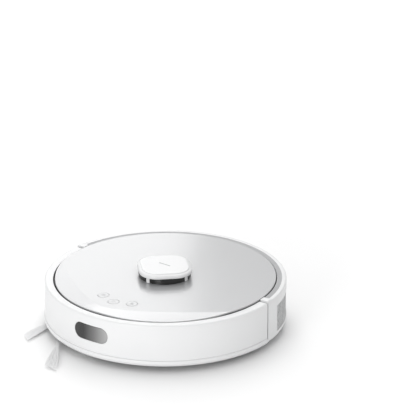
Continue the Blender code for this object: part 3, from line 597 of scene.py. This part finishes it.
def bumper_shell():
    top = LEDGE_Z / MM
    profile = mm_outline([(158.5, top, 0.8), (170, top, 3), (170, 19, 0.4), (169.3, 18.5, 0),
                          (170.8, 17.8, 0.5), (171.45, 14, 2), (169, 10.05, 1.5), (163, 10, 0.6),
                          (163, 12.4, 0), (167.2, 13, 0), (167.2, 68.2, 1), (158.5, 68.2, 0.5)])
    shell = lathe(profile, (-BUMPER_END, BUMPER_END), 1.0)
    # The gap to the top cover leaves room for the bumper's travel and narrows to the sides
    for vert in shell.verts:
        radius = vert.co.xy.length
        if radius < 160 * MM and vert.co.z > 67 * MM:
            ahead = -vert.co.y / radius
            vert.co.xy *= 1 - (2.2 * MM * (1 - ahead)) / radius
    middle = sum(WINDOW_Z) / 2
    half = (WINDOW_Z[1] - WINDOW_Z[0]) / 2
    hole = rounded_box(WINDOW_HALF, half, half - 0.2 * MM, (0, middle), 7.5)
    shell = carve(shell, prism(hole, *WINDOW_CUT))
    rim = [e for e in shell.edges if all(abs(v.co.xy.length - BODY_R) < 0.1 * MM for v in e.verts)
           and e.calc_face_angle(0) > 0.8 and all(
               WINDOW_Z[0] - MM < v.co.z < WINDOW_Z[1] + MM and abs(v.co.x) < WINDOW_HALF + MM
               for v in e.verts)]
    bmesh.ops.bevel(shell, geom=rim, offset=0.45 * MM, segments=2, profile=0.5, affect="EDGES",
                    clamp_overlap=False)
    piece("bumper_shell", shell, "bumper", "white_plastic", "bumper", round_wall=BODY_R)

    pane_half = half - GAP
    pane_shape = rounded_box(WINDOW_HALF - GAP, pane_half, pane_half - 0.2 * MM, (0, middle), 7.5)
    face_r = BODY_R + 0.05 * MM
    band = [(face_r, 60 * MM), (face_r, 30 * MM), (face_r - 2.6 * MM, 30 * MM),
            (face_r - 2.6 * MM, 60 * MM)]
    pane = carve(lathe(band, (-14, 14), 0.5), prism(pane_shape, *WINDOW_CUT),
                 operation="INTERSECT")
    soften(pane, 0.35 * MM, 3, 50)
    piece("front_window_pane", pane, "bumper", "black_window", "bumper_window", round_wall=face_r)


def rear_shell():
    """Rear wall, with a shallow channel round its ledge that holds a grey strip, laid there as
    painted shade along the ledge.
    """
    top, high = REAR_Z / MM, PLATE_EDGE_Z / MM
    floor = top - 0.35
    profile = mm_outline([(156.6, floor, 0.3), (163.6, floor, 0), (163.9, top, 0.3),
                          (170, top, 1.9), (170, 14, 1.5), (167.5, 10, 1), (158.5, 10, 0.4),
                          (158.5, 12.4, 0), (167.2, 13.5, 0), (167.2, 69.2, 1),
                          (156.6, 69.2, 0.3)])
    raised = mm_outline([(156.6, high, 0.5), (169.75, high, 2.4), (169.75, 66.6, 0.3),
                         (166.6, 66.6, 0.3), (166.6, 68.9, 0), (156.6, 68.9, 0)])
    shell = lathe(profile, (REAR_START, 360 - REAR_START), 1.0)
    low, tall = GRILLE_Z
    ways = []
    for _, side in SIDES:
        bridge = lathe(raised, on_side(side, REAR_START + 0.02, BRIDGE_END), 0.8)
        shell = carve(shell, soften(bridge, 0.5 * MM, 2, 50), operation="UNION")
        ways.append(lathe([(BODY_R + 3 * MM, tall), (BODY_R + 3 * MM, low),
                           (BODY_R - 8 * MM, low), (BODY_R - 8 * MM, tall)],
                          on_side(side, *GRILLE), 1.0))
    half = span("dust_bin")[1].x + 0.5 * MM
    ways.append(block((-half, 120 * MM, 12.9 * MM), (half, 180 * MM, 66.4 * MM)))
    piece("rear_shell", carve(shell, *ways), "base", "white_plastic", "rear_body",
          round_wall=BODY_R)
    # The grey strip in the channel is painted shade: it darkens the rear ledge where the shade
    # lies, not a part of another colour.
    strip = mm_outline([(156.9, floor + 0.25, 0.1), (163.5, floor + 0.25, 0.1),
                        (163.5, floor + 0.02, 0), (156.9, floor + 0.02, 0)])
    piece("rear_ledge_shade_strip", lathe(strip, (BRIDGE_END + 0.25, 359.75 - BRIDGE_END), 1.0), "base",
          "ledge_grey")


def perforated_arc(arc, z_span, radius, depth, pitch, hole_r):
    """A curved panel with an even field of round holes, each walled through the panel."""
    bm = bmesh.new()
    width = math.radians(arc[1] - arc[0]) * radius
    tall = z_span[1] - z_span[0]
    columns, rows, sides = round(width / pitch), round(tall / pitch), 8
    cell_w, cell_h = width / columns, tall / rows
    turns = [math.tau * (k + 0.5) / sides for k in range(sides)]
    for column in range(columns):
        for row in range(rows):
            middle = Vector(((column + 0.5) * cell_w, (row + 0.5) * cell_h))
            rings = []
            for r in (radius, radius - depth):
                for reach in ("cell", "hole"):
                    ring = []
                    for turn in turns:
                        away = Vector((math.cos(turn), math.sin(turn)))
                        if reach == "cell":
                            away /= 2 * max(abs(away.x), abs(away.y))
                            spot = middle + Vector((away.x * cell_w, away.y * cell_h))
                        else:
                            spot = middle + away * hole_r
                        angle = arc[0] + math.degrees(spot.x / radius)
                        ring.append(bm.verts.new(heading(angle, r, z_span[0] + spot.y)))
                    rings.append(ring)
            front, front_hole, back, back_hole = rings
            for first, second in ((front, front_hole), (front_hole, back_hole), (back_hole, back)):
                wall_between(bm, first, second)
    bmesh.ops.remove_doubles(bm, verts=bm.verts, dist=0.02 * MM)
    bmesh.ops.bridge_loops(bm, edges=[e for e in bm.edges if e.is_boundary])
    return outward(bm)


def side_grilles():
    for name, side in SIDES:
        panel = perforated_arc(on_side(side, GRILLE[0] + 0.12, GRILLE[1] - 0.12),
                               (GRILLE_Z[0] + GAP, GRILLE_Z[1] - GAP), BODY_R - 0.8 * MM,
                               1.8 * MM, 3.1 * MM, 0.85 * MM)
        piece("vent_panel_" + name, panel, "base", "vent_grey", "side_grille_" + name)


def past_crease(point):
    """How far a point of the top cover lies ahead of the crescent crease, in metres."""
    line = CREASE_FRONT - CREASE_PULL * (abs(point.x) / MM) ** CREASE_POWER
    return -point.y - line * MM


def cover_height(point):
    """The domed cover, with a flat crescent at its front that falls faster to the edge."""
    return plane_height(point.xy.length) - FACET_SLOPE * max(0, past_crease(point))


def crease_radius(angle, inner, outer):
    """Where the crease crosses a heading, by halving; the outer radius if it doesn't."""
    if past_crease(heading(angle, outer)) <= 0:
        return outer
    low, high = inner, outer
    for _ in range(30):
        middle = (low + high) / 2
        if past_crease(heading(angle, middle)) > 0:
            high = middle
        else:
            low = middle
    return low


def top_plate():
    """Glossy cover as a polar grid whose rings meet along the crescent crease."""
    bm = bmesh.new()
    inner, outer = HOLE_R + 0.3 * MM, PLATE_R - 1.2 * MM
    tight = 0.35 * MM
    skirt = outline([(outer, 0, 0), (PLATE_R, 0, 1 * MM), (PLATE_R, -2.2 * MM, 0.2 * MM),
                     (PLATE_R - 3 * MM, -2.2 * MM, 0.2 * MM), (HOLE_R, -1.4 * MM, 0),
                     (HOLE_R, -0.4 * MM, 0)], closed=False)
    rings = []
    for i in range(240):
        angle = i * 1.5
        crease = min(crease_radius(angle, inner, outer), outer - 1.5 * MM)
        radii = [inner + (crease - tight - inner) * k / 40 for k in range(41)] + [crease]
        radii += [crease + tight + (outer - crease - tight) * k / 12 for k in range(13)]
        edge = cover_height(heading(angle, outer))
        ring = [bm.verts.new(heading(angle, r, cover_height(heading(angle, r)))) for r in radii]
        for r, z in skirt[1:]:
            base = plane_height(HOLE_R) if r < PLATE_R - 4 * MM else edge
            ring.append(bm.verts.new(heading(angle, r, base + z)))
        rings.append(ring)
    skin(bm, rings, caps=False)
    outward(bm)
    holes = []
    for name in ("home_button", "power_button", "spot_button"):
        x, y = centre_of(name).xy
        holes.append(rod((x, y, 60 * MM), (x, y, 90 * MM), BUTTON_R + 0.25 * MM))
    piece("top_plate", carve(bm, *holes), "base", "pearl_cover", "top_cover", sharp=24)
    # A dark ring under the cover's edge, seen through the gap, is painted shade: it makes the seam
    # between cover and bumper read dark.
    far, near = PLATE_R - 0.1 * MM, PLATE_R - 2.6 * MM
    high, low = LEDGE_Z - 1.2 * MM, 66.5 * MM
    ring = outline([(far, high, 0.2 * MM), (far, low, 0.3 * MM), (near, low, 0.3 * MM),
                    (near, high, 0.2 * MM)])
    piece("cover_seam_shade_ring", lathe(ring, step=1.5), "base", "dark_plastic")


def stroke(points, width, z, closed=False, height=0.12 * MM):
    """A flat raised line of even width along points in the plane."""
    bm = bmesh.new()
    count = len(points)
    rows = []
    for i, point in enumerate(points):
        before = points[i - 1] if closed or i else point
        after = points[(i + 1) % count] if closed or i < count - 1 else point
        along = (Vector(after) - Vector(before)).normalized()
        side = Vector((-along.y, along.x)) * width / 2
        rows.append([bm.verts.new((*(Vector(point) + side * s), z + dz))
                     for s, dz in ((1, 0), (1, height), (-1, height), (-1, 0))])
    skin(bm, rows, caps=not closed)
    return outward(bm)


def arc_line(centre, radius, start=0, end=360):
    """Points round an arc, angles in degrees; a whole turn doesn't repeat its first point."""
    turns = [math.radians(start + (end - start) * i / 24) for i in range(25)]
    points = [centre + Vector((math.cos(t), math.sin(t))) * radius for t in turns]
    return points[:-1] if end - start >= 360 else points


def mm_line(centre, *points):
    return [centre + Vector(point) * MM for point in points]


def house_symbol(centre, z, width):
    roof = mm_line(centre, (3.0, 0.2), (0, -2.9), (-3.0, 0.2))
    walls = mm_line(centre, (2.1, -0.4), (2.1, 2.4), (-2.1, 2.4), (-2.1, -0.4))
    return stroke(roof, width, z), stroke(walls, width, z)


def power_symbol(centre, z, width):
    stem = mm_line(centre, (0, -3.1), (0, -0.3))
    return stroke(arc_line(centre, 2.6 * MM, -50, 230), width, z), stroke(stem, width, z)


def spot_symbol(centre, z, width):
    return [stroke(arc_line(centre, radius * MM), width, z, True) for radius in (2.7, 0.8)]


def buttons():
    """Three round keys, each with a thin ring and its symbol."""
    for name, draw in (("home", house_symbol), ("power", power_symbol), ("spot", spot_symbol)):
        node = name + "_button"
        centre, top = centre_of(node).xy, span(node)[1].z
        key = spindle([(0, top - DISH, 0), (BUTTON_R - 1.4 * MM, top - DISH, 3 * MM),
                       (BUTTON_R - 0.9 * MM, top - 0.02 * MM, 0.5 * MM),
                       (BUTTON_R, top - 0.1 * MM, 0.4 * MM),
                       (BUTTON_R, top - 4 * MM, 0), (0, top - 4 * MM, 0)], centre=centre)
        piece(name + "_key", key, node, "pearl_cover", node)
        symbol = together(*draw(centre, top - DISH, 0.42 * MM))
        piece(name + "_symbol", symbol, node, "print_grey")


# ---------------------------------------------------------------- laser turret

def turret():
    low, high = span("turret_base")
    collar = outline([(30 * MM, high.z, 0.4 * MM), (high.x, high.z, 0.3 * MM),
                      (high.x, low.z, 0.4 * MM), (30 * MM, low.z, 0.4 * MM)])
    piece("turret_collar", lathe(collar), "base", "ledge_grey", "turret_base")
    low, high = BAND
    band = outline([(high.x, high.z, 0.2 * MM), (high.x, low.z, 0.2 * MM),
                    (high.x - 1.4 * MM, low.z, 0), (high.x - 1.4 * MM, high.z, 0)])
    piece("turret_dark_window", lathe(band, centre=TURRET.xy), "base", "smoked", "turret_window")


def turret_lid():
    """Rounded square lid on four posts, with its corners forward, back and to the sides."""
    rim = (CAP_TOP - BAND[1].z) / MM - 0.3
    # Half width and depth below the top of each ring, in millimetres, from the crown to the rim
    levels = ((26.0, 0.12), (31.0, 0.14), (32.2, 0.22), (32.8, 0.46), (33.05, 0.9), (33.2, 1.5),
              (33.9, 1.8), (35.6, 2.3), (36.7, 2.9), (37.3, 3.9), (37.5, 5.0), (37.45, 6.0),
              (37.1, rim), (36.0, rim))
    bm = bmesh.new()
    rings = []
    for half, depth in levels:
        points = rounded_box(half * MM, half * MM, (half - 11) * MM, degrees=5)
        rings.append([bm.verts.new((p.x, p.y, CAP_TOP - depth * MM)) for p in points])
    skin(bm, rings)
    move(outward(bm), 45, "Z", TURRET)
    posts = []
    for angle in range(0, 360, 90):
        foot = TURRET + heading(angle, BAND[1].x + MM, BAND[0].z + 4.8 * MM)
        posts.append(soften(block((-2.7 * MM, -0.6 * MM, 0), (2.7 * MM, 0.6 * MM, 9.5 * MM),
                                  turn=angle, centre=foot), 0.3 * MM))
    piece("turret_lid", carve(bm, *posts, operation="UNION"), "base", "white_plastic",
          "turret_cap")
    # A plain generic mark on the crown, which stands very slightly proud of it
    foot, top = CAP_TOP - 0.2 * MM, CAP_TOP - 0.05 * MM
    ends = [TURRET + Vector((x, 0, 0)) for x in (-9 * MM, 9 * MM)]
    bar = stroke([end.xy for end in ends], 1.7 * MM, foot, height=top - foot)
    dots = [rod((*end.xy, foot), (*end.xy, top), 0.85 * MM, segments=24) for end in ends]
    piece("turret_mark", together(bar, *dots), "base", "print_grey")


# ---------------------------------------------------------------- side brush

def tuft_line(index):
    """Middle line of one bristle tuft: points with the direction at each."""
    turn, bent_by, _ = TUFT_SETS[index]
    arm = math.radians(SIDE_ARM_START + index * SIDE_ARM_STEP)
    point = SIDE_HUB.xy + Vector((math.cos(arm), math.sin(arm))) * (SIDE_ARM + 0.4 * MM)
    line = []
    for i in range(TUFT_ROWS + 1):
        direction = arm + math.radians(turn) * min(1, i / TUFT_ROWS / bent_by)
        line.append((point.copy(), direction))
        point += Vector((math.cos(direction), math.sin(direction))) * TUFT_LENGTH / TUFT_ROWS
    return line


def tuft(index):
    """Filaments that fan out across a tuft, each with its own place, stray and cut length."""
    chance = random.Random(index)
    fan_from = TUFT_SETS[index][2]
    line = tuft_line(index)
    bm = bmesh.new()
    for k in range(TUFT_FILAMENTS):
        across = (k + 0.5) / TUFT_FILAMENTS * 2 - 1
        layer, stray = chance.uniform(-0.75, 0.75), chance.gauss(0, 0.03)
        trim = chance.choice((0, 0, 0, 0.1, 0.2, 0.35))
        rings = []
        for i, (point, direction) in enumerate(line):
            share = i / TUFT_ROWS
            if i == TUFT_ROWS:
                point = point.lerp(line[i - 1][0], trim)
            spread = max(0, share - fan_from) / (1 - fan_from)
            width = TUFT_WIDTH[0] + (TUFT_WIDTH[1] - TUFT_WIDTH[0]) * spread
            thick, height = (root + (tip - root) * share for root, tip in (TUFT_THICK, TUFT_Z))
            slant = direction + math.radians(TUFT_SKEW) * spread
            side = Vector((-math.sin(slant), math.cos(slant), 0))
            place = max(-0.97, min(0.97, across + stray * spread))
            centre = Vector((*point, height + layer * (thick / 2 - 0.25 * MM)))
            centre += side * place * width / 2
            radius = (0.2 - 0.05 * share) * MM
            rings.append([bm.verts.new(centre + (side * a + Vector((0, 0, b))) * radius)
                          for a, b in ((1, -0.6), (0, 1), (-1, -0.6))])
        skin(bm, rings)
    return outward(bm)


def side_brush():
    x, y = SIDE_HUB.xy
    top, low = 9.4 * MM, 4.6 * MM
    hub = spindle([(0, 15 * MM, 0), (5.6 * MM, 15 * MM, 0.4 * MM), (5.6 * MM, top, 0.5 * MM),
                   (11.5 * MM, top, 0.6 * MM), (13 * MM, top - 1 * MM, 0.6 * MM),
                   (13 * MM, low + 1.5 * MM, 1 * MM), (10.5 * MM, low, 0.8 * MM),
                   (4.2 * MM, low, 0.3 * MM), (3.9 * MM, low + 1.2 * MM, 0.3 * MM),
                   (0, low + 1.2 * MM, 0)], centre=(x, y))
    arms, cuffs = [], []
    for i in range(len(TUFT_SETS)):
        turn = math.radians(SIDE_ARM_START + i * SIDE_ARM_STEP)
        out = Vector((math.cos(turn), math.sin(turn), 0))
        root = Vector((x, y, TUFT_Z[0] + 0.3 * MM))
        arms.append(rod(root + out * 8 * MM, root + out * (SIDE_ARM - 0.5 * MM), 2.35 * MM,
                        1.7 * MM, segments=20))
        for k in range(4):
            place = root + out * (15.5 + 2.2 * k) * MM
            cuffs.append(rod(place, place + out * 0.9 * MM, (2.3 - 0.06 * k) * MM, segments=20))
        piece(f"side_brush_tuft_{i + 1}", tuft(i), "side_brush", "bristle",
              f"side_brush_bristle_{i + 1}")
    piece("side_brush_star", carve(hub, *arms, operation="UNION"), "side_brush", "white_plastic",
          "side_brush_hub")
    piece("side_brush_grips", together(*cuffs), "side_brush", "grey_plastic")
    screw("side_brush_screw", (x, y, low + 1.1 * MM), "side_brush", 2.6 * MM)


def screw(name, foot, body, radius=2.8 * MM):
    """A countersunk cross-head screw whose head faces down."""
    x, y, z = foot
    head = spindle([(0, z - 0.25 * MM, 0), (radius * 0.55, z - 0.22 * MM, 1 * MM),
                    (radius, z, 0.2 * MM), (radius * 0.8, z + 0.6 * MM, 0.1 * MM),
                    (0, z + 0.6 * MM, 0)], 15, (x, y))
    slots = [block((-radius * 0.62, -0.3 * MM, -0.5 * MM), (radius * 0.62, 0.3 * MM, 0.35 * MM),
                   turn=turn, centre=(x, y, z - 0.1 * MM)) for turn in (30, 120)]
    piece(name, carve(head, *slots), body, "steel")


# ---------------------------------------------------------------- roller brush

# One fin and the dip beside it: radius in millimetres and angle
FIN = ((12.0, 0), (12.0, 9), (12.2, 18), (12.9, 24), (14.4, 29.5), (16.4, 33.5), (17.6, 36),
       (18.0, 38.5), (17.9, 42), (17.2, 43), (15.4, 40.5), (13.6, 39.5), (12.4, 43), (12.0, 51))


def fin_ring(bm, x, limit):
    """The sleeve's section at a place along it, no further out than a limit."""
    twist = 60 * abs(x) / ROLLER_HALF
    ring = []
    for fin in range(6):
        for reach, angle in FIN:
            r, turn = min(reach * MM, limit), math.radians(fin * 60 + angle + twist)
            ring.append(bm.verts.new((x, ROLLER.y + r * math.cos(turn),
                                      ROLLER.z + r * math.sin(turn))))
    return ring


def roller():
    """Sleeve of six soft fins that lean one way on each half, with three grooves for the guard."""
    bore_r, groove_r = 5.8 * MM, 14.2 * MM
    places = []
    for i in range(41):
        x = (2 * i / 40 - 1) * ROLLER_HALF
        if all(abs(x - groove) > 2.7 * MM for groove in GROOVES):
            places.append((x, ROLLER_R))
    for groove in GROOVES:
        places += [(groove - 2.4 * MM, ROLLER_R), (groove - 2.3 * MM, groove_r),
                   (groove + 2.3 * MM, groove_r), (groove + 2.4 * MM, ROLLER_R)]
    bm = bmesh.new()
    rings = [fin_ring(bm, x, limit) for x, limit in sorted(places)]
    rings += [fin_ring(bm, x, bore_r) for x in (ROLLER_HALF, -ROLLER_HALF)]
    skin(bm, rings, caps=False)
    piece("roller_fins", outward(bm), "main_brush", "rubber", "main_brush_sleeve", sharp=50)

    low, high = span("main_brush_core")
    core = spindle([(0, high.x, 0), (5.35 * MM, high.x, 0.6 * MM), (5.35 * MM, low.x, 0.6 * MM),
                    (0, low.x, 0)], 10)
    piece("roller_core", sideways(core, ROLLER), "main_brush", "grey_plastic", "main_brush_core")
    for name, _ in SIDES:
        low, high = span("roller_bearing_" + name)
        bush = outline([(9.4 * MM, high.x, 0.4 * MM), (9.4 * MM, low.x, 0.4 * MM),
                        (5.9 * MM, low.x, 0.3 * MM), (5.9 * MM, high.x, 0.3 * MM)])
        piece("roller_end_ring_" + name, sideways(lathe(bush, step=8), ROLLER), "base",
              "white_plastic", "roller_bearing_" + name)


def brush_guard():
    """Frame with bars under the roller, and ridges for the fingers on its two latches."""
    refined("roller_guard", "brush_guard", "base", "grey_plastic", 0.5 * MM)
    for name, side in SIDES:
        x = side * 76.2 * MM
        ridges = [soften(block((x - 1.2 * MM, y * MM - 0.5 * MM, 8.95 * MM),
                               (x + 1.2 * MM, y * MM + 0.5 * MM, 9.5 * MM)), 0.2 * MM)
                  for y in (0, 2.2, 4.4, 6.6, 8.8)]
        piece("guard_latch_grip_" + name, together(*ridges), "base", "grey_plastic")


# ---------------------------------------------------------------- wheels

def tyre(name):
    """Soft tyre whose tread is cut by chevron grooves, with a plain band at each shoulder."""
    low, high = span("wheel_tyre_" + name)
    centre, half = (low + high) / 2, (high.x - low.x) / 2
    outer, bore = (high.z - low.z) / 2 - 0.1 * MM, 26.1 * MM
    # Shares of the half width, and how far the surface has dropped there in millimetres
    across = [-1, -0.97, -0.9, -0.78, -0.76, -0.55, -0.33, -0.11, 0.11, 0.33, 0.55, 0.76, 0.78,
              0.9, 0.97, 1]
    drop = [2.2, 1.3, 0.5, 0.1, 0, 0, 0, 0, 0, 0, 0, 0, 0.1, 0.5, 1.3, 2.2]
    treads, per, chevron = 26, 6, 0.9
    groove_depth, groove_share, tread_edge = 1.3, 0.3, 0.77
    bm = bmesh.new()
    rings = []
    for i in range(treads * per):
        turn = math.tau * i / (treads * per)
        spots = []
        for place, fall in zip(across, drop):
            phase = (i / per + abs(place) * chevron) % 1.0
            if abs(place) < tread_edge and phase < groove_share:
                fall += groove_depth
            spots.append((place * half * 0.995, outer - fall * MM))
        spots += [(place * half * 0.95, bore) for place in (1, -1)]
        rings.append([bm.verts.new((centre.x + x, centre.y + r * math.cos(turn),
                                    centre.z + r * math.sin(turn))) for x, r in spots])
    skin(bm, rings, caps=False)
    piece("drive_tyre_" + name, outward(bm), "wheel_" + name, "rubber", "wheel_tyre_" + name,
          sharp=40)


def wheels():
    for name, _ in SIDES:
        tyre(name)
        refined("drive_hub_" + name, "wheel_hub_" + name, "wheel_" + name, "grey_plastic",
                0.5 * MM)
        refined("gearbox_case_" + name, "wheel_gearbox_" + name, "wheel_arm_" + name,
                "dark_plastic", 1.0 * MM, 3)
        refined("wheel_well_" + name, "wheel_housing_" + name, "base", "dark_plastic", 0.6 * MM)


def caster():
    """Small wheel in the slot of a turning fork, under a fixed cup."""
    side_room, end_room, slot_top = 0.4 * MM, 3 * MM, 24 * MM
    low, high = span("caster_wheel")
    middle = centre_of("caster_wheel")
    reach = (high.z - low.z) / 2
    foot, top = span("caster_fork")
    radius = (top.x - foot.x) / 2
    fork = spindle([(0, top.z, 0), (radius, top.z, 0.5 * MM), (radius, foot.z, 0.5 * MM),
                    (0, foot.z, 0)], centre=CASTER.xy)
    slot = block((low.x - side_room, middle.y - reach - end_room, foot.z - 1 * MM),
                 (high.x + side_room, middle.y + reach + end_room, slot_top))
    piece("caster_yoke", carve(fork, slot), "caster", "grey_plastic", "caster_fork")
    wheel = spindle([(0, high.x - 0.8 * MM, 0), (4.6 * MM, high.x - 0.8 * MM, 0.3 * MM),
                     (5.2 * MM, high.x, 0.3 * MM), (reach, high.x, 1.6 * MM),
                     (reach, low.x, 1.6 * MM), (5.2 * MM, low.x, 0.3 * MM),
                     (4.6 * MM, low.x + 0.8 * MM, 0.3 * MM), (0, low.x + 0.8 * MM, 0)])
    piece("caster_roller", sideways(wheel, (0, middle.y, middle.z)), "caster_wheel",
          "dark_plastic", "caster_wheel")
    low, high = span("caster_socket")
    cup = spindle([(0, high.z, 0), (15 * MM, high.z, 1 * MM),
                   (17.6 * MM, high.z - 2.5 * MM, 1 * MM), (17.6 * MM, low.z, 0.3 * MM),
                   (15.7 * MM, low.z, 0.3 * MM), (15.7 * MM, high.z - 3.4 * MM, 0.5 * MM),
                   (0, high.z - 3.4 * MM, 0)], centre=CASTER.xy)
    piece("caster_cup", cup, "base", "dark_plastic", "caster_socket")


# ---------------------------------------------------------------- underside

# Heading of each screw, and its distance from the axis in millimetres
SCREWS = ((-30, 128), (30, 128), (-96, 146), (96, 146), (-150, 118), (150, 118), (-118, 140),
          (118, 140), (180, 60))


def underside():
    """Base plate with screws in wells and moulded ribs, the battery hatch and the sensor panes."""
    plate = soften(fine_copy("chassis_base"), 0.35 * MM, 2, 35)
    low = span("chassis_base")[0].z
    wells = []
    for angle, radius in SCREWS:
        foot = heading(angle, radius * MM, low - 1 * MM)
        wells.append(rod(foot, foot + Vector((0, 0, 2.2 * MM)), 4.2 * MM, 3.4 * MM, segments=32))
    piece("base_plate", carve(plate, *wells), "base", "dark_plastic", "chassis_base")
    for i, (angle, radius) in enumerate(SCREWS):
        screw(f"base_screw_{i + 1}", heading(angle, radius * MM, low + 0.75 * MM), "base")
    rib = outline([(0, 0, 0), (0.8 * MM, 0, 0.3 * MM), (0.8 * MM, -0.55 * MM, 0.25 * MM),
                   (0, -0.55 * MM, 0.25 * MM)])
    ribs = [lathe([(radius * MM + r, low + z) for r, z in rib], (118, 242), 2)
            for radius in (88, 92, 96)]
    piece("base_ribs", together(*ribs), "base", "dark_plastic")
    refined("battery_hatch", "battery_door", "base", "dark_plastic", 0.5 * MM)
    for name, side in SIDES:
        screw("hatch_screw_" + name, (side * 62 * MM, -65.5 * MM, low - 0.05 * MM), "base",
              2.4 * MM)
        refined("charge_plate_" + name, "charge_contact_" + name, "base", "steel", 0.6 * MM, 3)
    for i in range(1, 5):
        refined(f"cliff_sensor_pane_{i}", f"cliff_window_{i}", "base", "smoked", 0.4 * MM)


# ---------------------------------------------------------------- dust bin

def dust_bin():
    """Bin with its cover, its ridged release button and its two rubber flaps."""
    refined("bin_body", "dust_bin", "dust_bin", "vent_grey", 0.6 * MM)
    refined("bin_cover", "bin_lid", "dust_bin", "vent_grey", 0.5 * MM)
    refined("bin_button_key", "bin_release_button", "bin_button", "dark_plastic", 0.3 * MM)
    face = span("bin_release_button")[1].y
    ridges = [soften(block((-10 * MM, face - 0.2 * MM, z * MM - 0.45 * MM),
                           (10 * MM, face + 0.3 * MM, z * MM + 0.45 * MM)), 0.2 * MM)
              for z in (34, 36, 38, 40, 42)]
    piece("bin_button_ridges", together(*ridges), "bin_button", "dark_plastic")
    for node in ("inlet_flap", "evac_flap"):
        refined("bin_" + node, node, node, "rubber", 0.3 * MM)


# ---------------------------------------------------------------- stage

def lamp(name, place, target, size, power):
    data = bpy.data.lights.new(name, "AREA")
    data.shape = "RECTANGLE"
    data.size, data.size_y = size
    data.energy = power
    obj = add_object(name, data)
    obj.location = place
    obj.rotation_euler = (Vector(target) - Vector(place)).to_track_quat("-Z", "Y").to_euler()


def studio():
    """Pale floor, white surround, a soft key from the front and a wide card behind."""
    bm = bmesh.new()
    bmesh.ops.create_grid(bm, x_segments=1, y_segments=1, size=20)
    mesh = mesh_of("floor", bm)
    floor = add_object("floor", mesh)
    floor.location.z = -0.05 * MM
    paint = Finish("floor_paint", Roughness=0.9, Specular_IOR_Level=0.1)
    paint.ramp(paint.noise(0.8, 2.0), [(0.3, 0.95), (0.7, 0.97)])
    mesh.materials.append(paint.material)

    world = bpy.data.worlds.new("studio")
    world.use_nodes = True
    surround = world.node_tree.nodes["Background"]
    surround.inputs["Color"].default_value = (1, 1, 1, 1)
    surround.inputs["Strength"].default_value = 0.66
    bpy.context.scene.world = world

    far = Vector((-math.sin(VIEW_AZIMUTH), math.cos(VIEW_AZIMUTH), 0))
    left = Vector((-far.y, far.x, 0))
    lamp("front", AXIS + heading(10, 3.0, 0.75), AXIS, (1.2, 0.8), 36)
    lamp("top", AXIS + far * 1.3 + Vector((0, 0, 2.7)), AXIS, (2.2, 2.2), 30)
    # The cards show in the glossy cover: one as its pale left part, one along its front facet
    lamp("card", AXIS + far * 4 + left * 0.71 + Vector((0, 0, 1.6)), AXIS + left * 0.71,
         (1.5, 1.3), 11)
    lamp("high_card", AXIS + far * 4 + left * 0.15 + Vector((0, 0, 2.95)), AXIS, (3.0, 0.8), 30)

    back = -far * math.cos(VIEW_ELEVATION) + Vector((0, 0, math.sin(VIEW_ELEVATION)))
    data = bpy.data.cameras.new("camera")
    data.lens = VIEW_LENS
    data.sensor_width = 36
    data.clip_end = 60
    camera = add_object("camera", data)
    camera.location = AXIS + VIEW_AIM + back * VIEW_DISTANCE
    camera.rotation_euler = back.to_track_quat("Z", "Y").to_euler()
    bpy.context.scene.camera = camera
    bpy.context.scene.view_settings.view_transform = "Standard"


def cad_finishes():
    """Give each CAD node the procedural material of its slot."""
    for subpart in frame["record"]["subparts"]:
        node, look = subpart["node"], subpart["material_slot"]
        if look == "black_window":
            look = "smoked"
        for slot in NODES[node].material_slots:
            slot.material = LOOKS[look]


bumper_shell()
rear_shell()
side_grilles()
top_plate()
buttons()
turret()
turret_lid()
side_brush()
roller()
brush_guard()
wheels()
caster()
underside()
dust_bin()
cad_finishes()
studio()
